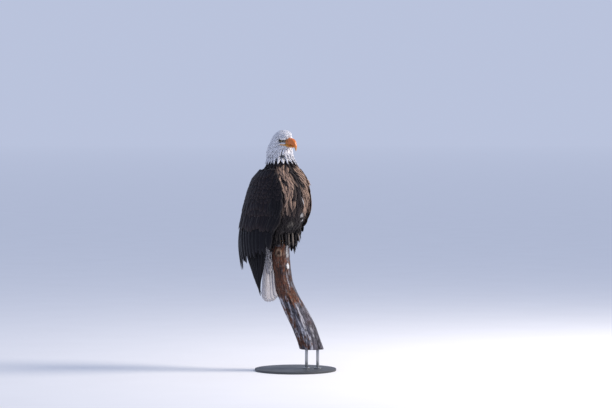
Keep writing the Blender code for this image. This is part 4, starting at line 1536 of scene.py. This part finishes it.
def foot_material():
    """Scaly skin of an eagle's foot: dull yellow, rough, with dark dirt between its scales."""
    made, tree = new_material("scaly_foot_skin")
    place = object_place(tree)
    edges = {"feature": "DISTANCE_TO_EDGE"}
    scales = add_node(tree, "TexVoronoi", edges, Vector=place, Scale=480.0)
    seam = ranged(tree, scales.outputs["Distance"], 0.0, 0.16, 0.0, 1.0)
    dirt = mixed(tree, seam, opaque("6d4a20"), attribute(tree, "tint"))
    colour = varied(tree, dirt, noised(tree, place, 160.0, 3.0), 0.8, 1.15)
    return finish_material(made, (0.6, 0.0005, seam), Base_Color=colour, Roughness=0.55)


def make_foot(side, sign, material):
    """A foot with raised plates across its toes."""
    obj = fine_copy("foot_skin_" + side, "foot_" + side, FOOT_VOXEL, 6)
    points, normals = points_of(obj), normals_of(obj)
    local = points - AT
    reach = np.linalg.norm(local[:, :2] - np.array([sign * ANKLE[0], ANKLE[1]]), axis=1)
    top = smooth(normals[:, 2], 0.1, 0.6) * smooth(reach, 0.010, 0.016)
    plates = np.abs(np.sin(reach * np.pi / PLATE_GAP)) ** 0.6
    shank = smooth(local[:, 2], 0.016, 0.022)
    rings = np.abs(np.sin(local[:, 2] * np.pi / RING_GAP)) ** 0.6
    out = 0.0003 + 0.00055 * (plates - 0.5) * top + 0.0005 * (rings - 0.5) * shank
    joint = np.abs(np.mod(reach, JOINT_GAP) - JOINT_GAP / 2)
    out -= 0.0008 * bell(joint, 0.0016) * smooth(reach, 0.012, 0.016)
    move_points(obj, points + normals * out[:, None])
    under = 1 - smooth(normals[:, 2], -0.5, 0.1)
    tint = repeated(linear("c98f3c"), len(points))
    tint = washed(tint, ("b0632a", 0.5 * (1 - plates) * top), ("8a6630", 0.5 * under))
    paint(obj, "tint", tint)
    return finish_piece(obj, material, ["foot_" + side])


def make_claw(side, name, material):
    obj = merged_copy(f"talon_{side}_{name}", f"claw_{side}_{name}")
    apply_modifier(obj, "SUBSURF", levels=2, render_levels=2)
    height = points_of(obj)[:, 2]
    high = smooth(height, height.max() - 0.006, height.max())
    paint(obj, "tint", washed(repeated(linear("1d1b1e"), len(high)), ("3c332c", 0.7 * high)))
    obj.data.shade_smooth()
    return finish_piece(obj, material, [f"claw_{side}_{name}"])


# ---------------------------------------------------------------- perch

SLICE = 0.012  # between the heights at which the trunk's middle is found
GRAIN_RADIUS = 0.05
TRUNK_RADIUS = 0.043
SCAR = (-145.0, 0.047)  # degrees round the trunk, and depth under its top
DROPPINGS = (-84.0, 0.111)


def wood_material():
    """Dead wood that has stood in the weather: long grey fibres, rust-brown inner wood where the
    bark and the outer layers have gone, and checks along the grain, painted dark as the shade in
    them."""
    made, tree = new_material("weathered_dead_wood")
    grain = attribute(tree, "grain", 1)
    # Fibres 1.5 mm apart and some 25 mm long, and fine checks between them
    fibres = noised(tree, grain, 1.0, 5.0, (650.0, 650.0, 40.0), Roughness=0.62)
    checks = noised(tree, grain, 1.0, 3.0, (210.0, 210.0, 13.0), Distortion=0.4)
    off = maths(tree, "ABSOLUTE", maths(tree, "SUBTRACT", checks, 0.5))
    open_check = ranged(tree, off, 0.0, 0.055, 0.0, 1.0)
    light = ranged(tree, fibres, 0.3, 0.7, 0.42, 1.48)
    # Painted shade: the open checks are darkened
    dark = ranged(tree, open_check, 0.0, 1.0, 0.20, 1.0)
    shade = maths(tree, "MULTIPLY", light, dark)
    colour = mixed(tree, 1.0, attribute(tree, "tint"), shade, "MULTIPLY")
    height = maths(tree, "MULTIPLY_ADD", open_check, 0.8, fibres)
    return finish_material(
        made, (0.7, 0.0012, height), Base_Color=colour, Roughness=0.82, IOR=1.45
    )


def trunk_turns(points):
    """Depth under the trunk's broken top, degrees round its own leaning middle, and distance from
    it."""
    depth = BIRD.z - points[:, 2]
    slices = np.arange(0.0, depth.max() + SLICE, SLICE)
    which = np.digitize(depth, slices)
    middles = []
    for k in range(1, len(slices) + 1):
        ring = points[which == k][:, :2]
        middles.append((ring.min(0) + ring.max(0)) / 2 if len(ring) > 8 else [np.nan, np.nan])
    middles = np.array(middles)
    known = ~np.isnan(middles[:, 0])
    fits = [np.polyfit(slices[known], middles[known, i], 5) for i in (0, 1)]
    out = points[:, :2] - np.stack([np.polyval(fit, depth) for fit in fits], 1)
    return depth, np.degrees(np.arctan2(out[:, 1], out[:, 0])), np.linalg.norm(out, axis=1)


def turn_gap(turn, place):
    """Degrees from a place round the trunk."""
    return (turn - place + 180) % 360 - 180


def make_trunk():
    own = bpy.context.scene.eagle_perch
    obj = fine_copy("weathered_trunk", "perch", TRUNK_VOXEL, 3)
    points, normals = points_of(obj), normals_of(obj)
    depth, turn, out = trunk_turns(points)
    # The grain winds a little round the trunk
    wound = np.radians(turn) + 1.6 * depth
    grain = np.stack([GRAIN_RADIUS * np.cos(wound), GRAIN_RADIUS * np.sin(wound), depth], 1)
    grain += ((out - GRAIN_RADIUS) * 0.35)[:, None] * np.array([1.0, 0.6, 0.0])

    def grown(across, along, start=0.0, octaves=2):
        """Noise stretched along the grain."""
        return fractal(grain * np.array([across, across, along]) + start, octaves)

    def beside(place, reach):
        return bell(turn_gap(turn, place), reach)

    side = 1 - smooth(np.abs(normals[:, 2]), 0.55, 0.85)
    lumps, wide, fine = grown(26.0, 11.0), grown(75.0, 6.5), grown(210.0, 14.0, 7.0)
    split = bell(wide, 0.055) * smooth(grown(30.0, 9.0, 3.0, 1), -0.35, 0.2)
    check = bell(fine, 0.08) * smooth(grown(60.0, 14.0, 11.0, 1), -0.2, 0.3)
    crack = np.maximum(split, 0.45 * check)
    flutes = 0.0011 * grown(120.0, 9.0, 5.0, 3)
    shift = side * (0.0028 * lumps + flutes) - side * own.crack_depth * crack
    # An old branch scar below the feet
    across, below = np.radians(turn_gap(turn, SCAR[0])) * TRUNK_RADIUS, depth - SCAR[1]
    scar = np.hypot(across / 0.0140, below / 0.0185)
    shift += 0.0028 * bell(scar - 0.85, 0.30) - 0.0055 * (1 - smooth(scar, 0.15, 0.65))
    points += normals * shift[:, None]
    # The broken top: splinters standing along the grain
    high = 1 - smooth(depth, 0.004, 0.034)
    rim = smooth(out, 0.020, 0.040)
    splinter = fractal(np.stack([points[:, 0] * 150, points[:, 1] * 150, depth * 4], 1), 3)
    points[:, 2] += high * (0.0045 * splinter - 0.0035 + 0.0030 * rim * np.maximum(splinter, 0))
    move_points(obj, points)

    # Colour: grey weathered wood, with rust-brown inner wood under the bird's right foot
    count = len(points)
    patchy = grown(34.0, 13.0, 19.0, 3)
    patchy += 0.30 * fine + 0.7 * grown(120.0, 52.0, 23.0, 3)
    left = beside(-166.0, 78) * smooth(depth, 0.004, 0.03) * (1 - smooth(depth, 0.23, 0.29))
    low = beside(-120.0, 60) * bell(depth - 0.245, 0.060)
    lower = 0.50 * beside(-175.0, 60) * smooth(depth, 0.24, 0.32)
    upper = 0.60 * beside(-95.0, 60) * (1 - smooth(depth, 0.16, 0.26))
    red = np.maximum(np.maximum(left, low), np.maximum(lower, upper))
    red = smooth(red + 0.42 * patchy, 0.34, 0.66)
    mottle = grown(95.0, 60.0, 31.0, 3)
    # The rust wood is darker in the hollows between the lumps: painted shade
    rust = washed(
        repeated(own.rust, count),
        ("855238", 0.8 * smooth(mottle, 0.05, 0.45)),
        ("8c7465", 0.6 * smooth(-mottle, 0.15, 0.50)),
        ("3c241d", 0.7 * smooth(-lumps, 0.1, 0.5)),
    )
    # Grey wood, with pale bluish-white streaks that are painted highlights
    tint = washed(
        repeated(own.grey, count),
        ("6a6470", 0.7 * smooth(patchy, 0.0, 0.5)),
        ("ccccd6", 0.75 * smooth(-wide, 0.12, 0.42)),
    )
    top = high * smooth(normals[:, 2], 0.3, 0.8)
    tint = washed(
        blend(tint, rust, red),
        ("7d5537", 0.75 * top),
        ("a8917b", 0.65 * bell(scar - 0.75, 0.35)),
        ("3b2a24", 0.85 * (1 - smooth(scar, 0.2, 0.62))),
    )
    # Painted shade: the cracks, and small pits that are not modelled, are darkened, less on the
    # rust wood
    pit_shade = smooth(grown(150.0, 55.0, 29.0), 0.10, 0.34)
    tint = tint * (1 - np.maximum(0.90 * crack, (0.62 - 0.25 * red) * pit_shade) * side)[:, None]
    # Droppings run down from under the tail's left side
    across = np.radians(turn_gap(turn, DROPPINGS[0])) * TRUNK_RADIUS + 0.004 * grown(260.0, 260.0)
    streak = 1 - smooth(np.abs(across) - 0.004, 0.0, 0.003)
    streak *= smooth(depth, 0.006, 0.012) * (1 - smooth(depth, 0.060, 0.078))
    blob = np.hypot(across / 0.0085, (depth - DROPPINGS[1]) / 0.0150)
    white = np.maximum(0.75 * streak, 1 - smooth(blob, 0.80, 1.05))
    paint(obj, "tint", np.clip(washed(tint, ("d9dce0", white)), 0, 1))
    note(obj, "grain", grain)
    obj.data.shade_smooth()
    return finish_piece(obj, wood_material(), ["perch"])


# ---------------------------------------------------------------- stand

SMOOTH_UNDER = math.radians(40)  # sharper edges stay crisp
SCREW_RADIUS = 0.0026
SCREW_HEIGHT = 0.0030
SOCKET_DEPTH = 0.0014


def coated_material():
    """Powder-coated steel plate: a fine orange-peel skin, satin, with faint dust."""
    made, tree = new_material("powder_coated_steel")
    place = object_place(tree)
    peel, dust = noised(tree, place, 700.0, 2.0), noised(tree, place, 14.0, 5.0)
    colour = mixed(tree, dust, opaque("3b3e42"), opaque("4a4d50"))
    gloss = ranged(tree, dust, 0.3, 0.7, 0.42, 0.58)
    return finish_material(
        made, (0.25, 0.0002, peel), Base_Color=colour, Roughness=gloss, IOR=1.50
    )


def bare_steel_material():
    """Turned steel: bright, with fine rings round the bar left by the lathe."""
    made, tree = new_material("turned_steel")
    marks = noised(tree, object_place(tree), 1.0, 2.0, (40.0, 40.0, 2500.0))
    return finish_material(
        made, (0.2, 0.0001, marks), Base_Color=opaque("a9abad"), Metallic=1.0,
        Roughness=ranged(tree, marks, 0.3, 0.7, 0.24, 0.42),
    )


def turned_disc(name, node, segments, bevel, material):
    """A round bar or plate in a node's place, with its edges broken."""
    low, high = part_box(node)
    obj = added(
        name, "cylinder", vertices=segments, radius=(high.x - low.x) / 2, depth=high.z - low.z,
        location=(low + high) / 2,
    )
    place_mesh(obj)
    apply_modifier(obj, "BEVEL", width=bevel, segments=3, limit_method="ANGLE")
    bpy.ops.object.shade_smooth_by_angle(angle=SMOOTH_UNDER)
    return finish_piece(obj, material, [node])


def make_screws(node, material):
    """Three socket-head screws sunk in a flange."""
    low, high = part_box(node)
    middle = (low + high) / 2
    heads = []
    for k in range(3):
        turn = math.radians(120 * k + 30)
        reach = (high.x - low.x) / 2 * 0.70
        place = middle + Vector((math.cos(turn), math.sin(turn), 0)) * reach
        obj = added(
            "screw", "cylinder", vertices=24, radius=SCREW_RADIUS, depth=SCREW_HEIGHT,
            location=(place.x, place.y, high.z + 0.0005),
        )
        place_mesh(obj)
        select_faces(obj, [face.normal.z > 0.9 for face in obj.data.polygons])
        with edit_mode(None):
            bpy.ops.mesh.select_mode(type="FACE")
            bpy.ops.mesh.inset(thickness=0.0012)
            bpy.ops.mesh.extrude_region_move(
                TRANSFORM_OT_translate={"value": (0, 0, -SOCKET_DEPTH)}
            )
        apply_modifier(obj, "BEVEL", width=0.0003, segments=2, limit_method="ANGLE")
        bpy.ops.object.shade_smooth_by_angle(angle=SMOOTH_UNDER)
        heads.append(obj)
    obj = joined("screws_" + node.rsplit("_", 1)[1], *heads)
    return finish_piece(obj, material)


# ---------------------------------------------------------------- stage

FLOOR_REACH = 900.0
LAMP_DISTANCE = 4.0
LAMP_SIZE = 1.8
LAMP_AIM = 0.2  # above the bird's feet
CAMERA_AIM = Vector((0.0364, -0.0327, 0.778))


def floor_material():
    """A matt painted studio floor, with the faintest roller texture, which melts into the room's
    own light far away so that no edge shows behind the model."""
    own = bpy.context.scene.eagle_stage
    made, tree = new_material("matt_floor_paint")
    place = object_place(tree)
    colour = mixed(tree, noised(tree, place, 3.0, 4.0), opaque("eeeff1"), opaque("f3f4f6"))
    reach = add_node(tree, "VectorMath", {"operation": "LENGTH"}, n0=place).outputs[1]
    far = ranged(tree, reach, 15.0, 90.0, 0.0, 1.0)
    return finish_material(
        made, Base_Color=mixed(tree, far, colour, opaque("000000")),
        Emission_Strength=maths(tree, "MULTIPLY", far, own.fill),
        Emission_Color=(*own.fill_colour, 1), Specular_IOR_Level=0.0, Roughness=0.85,
    )


def make_stage():
    own = bpy.context.scene.eagle_stage
    floor = added("floor", "circle", vertices=96, radius=FLOOR_REACH, fill_type="NGON")
    floor.data.materials.append(floor_material())

    world = bpy.data.worlds.new("soft_room")
    world.use_nodes = True
    light = world.node_tree.nodes["Background"].inputs
    light["Color"].default_value = (*own.fill_colour, 1)
    light["Strength"].default_value = own.fill
    bpy.context.scene.world = world

    side = Vector((math.cos(BODY_YAW), math.sin(BODY_YAW), 0))
    ahead = Vector((-math.sin(BODY_YAW), math.cos(BODY_YAW), 0))
    away = (side * 1.0 - ahead * own.key_forward).normalized()
    away = away * math.cos(own.key_height) + Vector((0, 0, math.sin(own.key_height)))
    lamp = bpy.data.lights.new("key", "AREA")
    lamp.shape = "DISK"
    lamp.size = LAMP_SIZE
    lamp.energy = own.key
    lamp.color = own.key_colour
    key = new_object("key", lamp)
    key.location = Vector((BIRD.x, BIRD.y, BIRD.z + LAMP_AIM)) + away * LAMP_DISTANCE
    key.rotation_euler = (-away).to_track_quat("-Z", "Y").to_euler()

    camera = bpy.data.cameras.new("camera")
    camera.lens = own.lens
    camera.sensor_width = 36
    camera.clip_end = 2000
    obj = new_object("camera", camera)
    level = Vector((math.sin(own.camera_turn), -math.cos(own.camera_turn), 0))
    up = Vector((0, 0, math.sin(own.camera_height)))
    obj.location = CAMERA_AIM + (level * math.cos(own.camera_height) + up) * own.camera_distance
    obj.rotation_euler = (CAMERA_AIM - obj.location).to_track_quat("-Z", "Y").to_euler()
    bpy.context.scene.camera = obj
    bpy.context.scene.view_settings.view_transform = "Standard"


# ---------------------------------------------------------------- settings


def colour_property(name, description, code):
    return bpy.props.FloatVectorProperty(
        name=name, description=description, subtype="COLOR", size=3, min=0, max=1,
        default=linear(code),
    )


def number_property(name, description, default, **form):
    return bpy.props.FloatProperty(name=name, description=description, default=default, **form)


class EaglePlumage(bpy.types.PropertyGroup):
    """Colours of the feathers."""

    white: colour_property("White", "Head, neck, vent and tail coverts", "e1e3eb")
    breast: colour_property("Breast", "Crests of the feather tracts on the breast", "947b6c")
    # On the breast this dark also serves as painted shade in the gaps between the tracts
    mantle: colour_property("Mantle", "Breast between its tracts, and back", "181419")
    belly: colour_property("Belly", "Belly, flanks and thighs", "0c0b10")
    covert: colour_property("Coverts", "Small feathers that cover the wing", "110f18")
    covert_edge: colour_property("Covert margins", "Paler worn margins of the coverts", "473b3a")
    # A paler brown, partly painted sunlight on the front of the left wing
    shoulder: colour_property("Left shoulder", "Front of the left wing", "7d695d")
    worn_tip: colour_property("Worn tips", "Bleached tips of breast feathers", "d8d2cc")
    flight: colour_property("Secondaries", "Long feathers of the arm", "0d0d15")
    hand: colour_property("Primaries", "Long feathers of the hand", "090a11")
    flight_edge: colour_property("Flight margins", "Margins of the long feathers", "25222a")
    # A light grey: the white of the tail painted down as shade
    tail: colour_property("Tail", "The twelve tail feathers", "c2c1c9")


class EaglePerch(bpy.types.PropertyGroup):
    """Colours and depth of the weathering of the dead trunk."""

    grey: colour_property("Grey wood", "Outer wood bleached by weather", "5f5d67")
    rust: colour_property("Rust wood", "Inner wood laid bare", "5e3a2c")
    crack_depth: number_property(
        "Crack depth", "Depth of the widest cracks along the grain",
        0.0032, min=0, max=0.008, unit="LENGTH",
    )


class EagleStage(bpy.types.PropertyGroup):
    """Light and camera."""

    fill: number_property("Fill", "Strength of the light from all round", 0.84, min=0)
    fill_colour: colour_property("Fill colour", "Colour of the light from all round", "c9d3ee")
    key: number_property(
        "Key", "Power of the soft lamp at the bird's left", 190, min=0, unit="POWER"
    )
    key_colour: colour_property("Key colour", "Colour of the soft lamp", "fff3e4")
    key_height: number_property(
        "Key height", "How high the lamp stands over the bird", math.radians(33), subtype="ANGLE"
    )
    key_forward: number_property(
        "Key forward", "How far in front of the bird's side the lamp stands", 0.10, min=-2, max=2
    )
    lens: number_property(
        "Lens", "Focal length on a 36 mm sensor", 151.5, min=20, unit="CAMERA"
    )
    camera_turn: number_property(
        "Camera turn", "Camera's place round the bird, from its front", BODY_YAW, subtype="ANGLE"
    )
    camera_height: number_property(
        "Camera height", "How far the camera looks down", math.radians(2), subtype="ANGLE"
    )
    camera_distance: number_property(
        "Camera distance", "From the middle of the bird and its perch",
        12.0, min=2, unit="LENGTH",
    )


# ---------------------------------------------------------------- operators


def small_material():
    return vane_material("contour_feather", 0.62, 0.0011, 0.14, "6a5f5a", 0.50)


class EAGLE_OT_skin(bpy.types.Operator):
    """Draws one skin over head, neck, trunk, wings and thighs, with lids and brows"""

    bl_idname = "eagle.skin"
    bl_label = "Skin"

    def execute(self, context):
        skin = make_skin()
        paint(skin, "tint", skin_colours(points_of(skin) - AT))
        finish_piece(skin, skin_material(), FLESH)
        return {"FINISHED"}


class EAGLE_OT_small_feathers(bpy.types.Operator):
    """Grows the small feathers of head, neck, body and thighs"""

    bl_idname = "eagle.small_feathers"
    bl_label = "Small feathers"

    def execute(self, context):
        skin = Surface(bpy.data.objects["skin"])
        regions = coat_regions(skin)
        down, body = Vane(DOWN_LENS, DOWN_ROWS), Vane(LENS, BODY_ROWS)
        white = vane_material("white_head_feather", 0.60, 0.0009, 0.0, "ffffff", 0.35, 0.07)
        brown = small_material()
        coats = (
            ("head", 3, down, white, "white_feather", ("face", "head")),
            ("neck", 5, down, white, "white_feather", ("neck",)),
            ("body", 7, body, brown, "brown_feather", ("body",)),
            ("thighs", 9, body, brown, "brown_feather", ("thigh", "inner_wing", "wing_edge")),
            ("vent", 11, body, white, "white_feather", ("vent",)),
        )
        for name, seed, vane, material, slot, kinds in coats:
            coat = Coat(skin, seed)
            for kind in kinds:
                grow(coat, vane, skin, regions[kind], kind)
            if name == "body":
                close_back(coat, vane, skin)
            coat.build("feathers_" + name, material, slot)
        return {"FINISHED"}


class EAGLE_OT_wings(bpy.types.Operator):
    """Lays the rows of coverts, the secondaries and the primaries of both wings"""

    bl_idname = "eagle.wings"
    bl_label = "Wings"

    def execute(self, context):
        skin = Surface(bpy.data.objects["skin"])
        vanes = vane_material("flight_feather", 0.48, 0.0014, 0.55, "15131a", 0.45)
        for side, sign in SIDES:
            coat, drape = make_coverts(side, sign, skin)
            coat.build("coverts_" + side, small_material(), "brown_feather")
            coat = Coat(skin, SECONDARY_SEED + sign)
            make_secondaries(coat, drape, skin)
            coat.build("secondaries_" + side, vanes, "flight_feather")
            coat = make_primaries(side, sign, skin)
            coat.build("primary_vanes_" + side, vanes, "flight_feather", ["primaries_" + side])
        return {"FINISHED"}


class EAGLE_OT_tail(bpy.types.Operator):
    """Lays the twelve tail feathers"""

    bl_idname = "eagle.tail"
    bl_label = "Tail"

    def execute(self, context):
        skin = Surface(bpy.data.objects["skin"])
        vanes = vane_material("white_tail_feather", 0.50, 0.0014, 0.5, "e8e4dc", 0.40, 0.07)
        make_tail_feathers(skin).build("tail_vanes", vanes, "white_feather", ["tail"])
        return {"FINISHED"}


class EAGLE_OT_bill(bpy.types.Operator):
    """Shapes both halves of the bill, its cere and the yellow corners of the mouth"""

    bl_idname = "eagle.bill"
    bl_label = "Bill"

    def execute(self, context):
        horn = horn_material("bill_horn", 0.30, 1.2, 0.25)
        make_bill_half("bill_upper_horn", "bill_upper", horn)
        make_bill_half("bill_lower_horn", "bill_lower", horn)
        skin = Surface(bpy.data.objects["skin"])
        soft = horn_material("gape_skin", 0.45, 0.9, 0.0)
        for side, sign in SIDES:
            make_gape(side, sign, skin, soft)
        return {"FINISHED"}


class EAGLE_OT_eyes(bpy.types.Operator):
    """Sets both glass eyes"""

    bl_idname = "eagle.eyes"
    bl_label = "Eyes"

    def execute(self, context):
        glass = eye_material()
        for side, sign in SIDES:
            make_eye(side, sign, glass)
        return {"FINISHED"}


class EAGLE_OT_feet(bpy.types.Operator):
    """Shapes the scaly feet and their talons"""

    bl_idname = "eagle.feet"
    bl_label = "Feet"

    def execute(self, context):
        scales = foot_material()
        claws = horn_material("claw_horn", 0.28, 1.0, 0.3)
        for side, sign in SIDES:
            make_foot(side, sign, scales)
            for name in TOES:
                make_claw(side, name, claws)
        return {"FINISHED"}


class EAGLE_OT_perch(bpy.types.Operator):
    """Weathers the dead trunk: cracks, grain, scar, broken top and droppings"""

    bl_idname = "eagle.perch"
    bl_label = "Perch"

    def execute(self, context):
        make_trunk()
        return {"FINISHED"}


class EAGLE_OT_stand(bpy.types.Operator):
    """Makes the display stand's plate, flanges, rods and screws"""

    bl_idname = "eagle.stand"
    bl_label = "Stand"

    def execute(self, context):
        coat, steel = coated_material(), bare_steel_material()
        turned_disc("base_plate", "stand_base", 160, 0.0018, coat)
        for end in ("front", "back"):
            node = "stand_flange_" + end
            turned_disc("flange_" + end, node, 64, 0.0007, steel)
            turned_disc("rod_" + end, "stand_rod_" + end, 48, 0.0004, steel)
            make_screws(node, steel)
        return {"FINISHED"}


class EAGLE_OT_stage(bpy.types.Operator):
    """Sets the floor, the lights and the camera"""

    bl_idname = "eagle.stage"
    bl_label = "Stage"

    def execute(self, context):
        make_stage()
        return {"FINISHED"}


class EAGLE_PT_panel(bpy.types.Panel):
    """The eagle's pieces, in the order in which they are made"""

    bl_idname = "EAGLE_PT_panel"
    bl_label = "Bald Eagle"
    bl_space_type = "VIEW_3D"
    bl_region_type = "UI"
    bl_category = "Eagle"

    def draw(self, context):
        for operator in OPERATORS:
            self.layout.operator(operator.bl_idname)
        for key, kind in GROUPS.items():
            column = self.layout.column()
            for name in kind.__annotations__:
                column.prop(getattr(context.scene, key), name)


OPERATORS = (
    EAGLE_OT_skin, EAGLE_OT_eyes, EAGLE_OT_bill, EAGLE_OT_small_feathers, EAGLE_OT_wings,
    EAGLE_OT_tail, EAGLE_OT_feet, EAGLE_OT_perch, EAGLE_OT_stand, EAGLE_OT_stage,
)
GROUPS = {
    "eagle_plumage": EaglePlumage, "eagle_perch": EaglePerch, "eagle_stage": EagleStage,
}


def register():
    for kind in (*GROUPS.values(), *OPERATORS, EAGLE_PT_panel):
        bpy.utils.register_class(kind)
    for name, kind in GROUPS.items():
        setattr(bpy.types.Scene, name, bpy.props.PointerProperty(type=kind))


def unregister():
    for name in GROUPS:
        delattr(bpy.types.Scene, name)
    for kind in (EAGLE_PT_panel, *reversed(OPERATORS), *reversed(tuple(GROUPS.values()))):
        bpy.utils.unregister_class(kind)


def main():
    register()
    for operator in OPERATORS:
        group, name = operator.bl_idname.split(".")
        getattr(getattr(bpy.ops, group), name)()


if __name__ == "__main__":
    main()
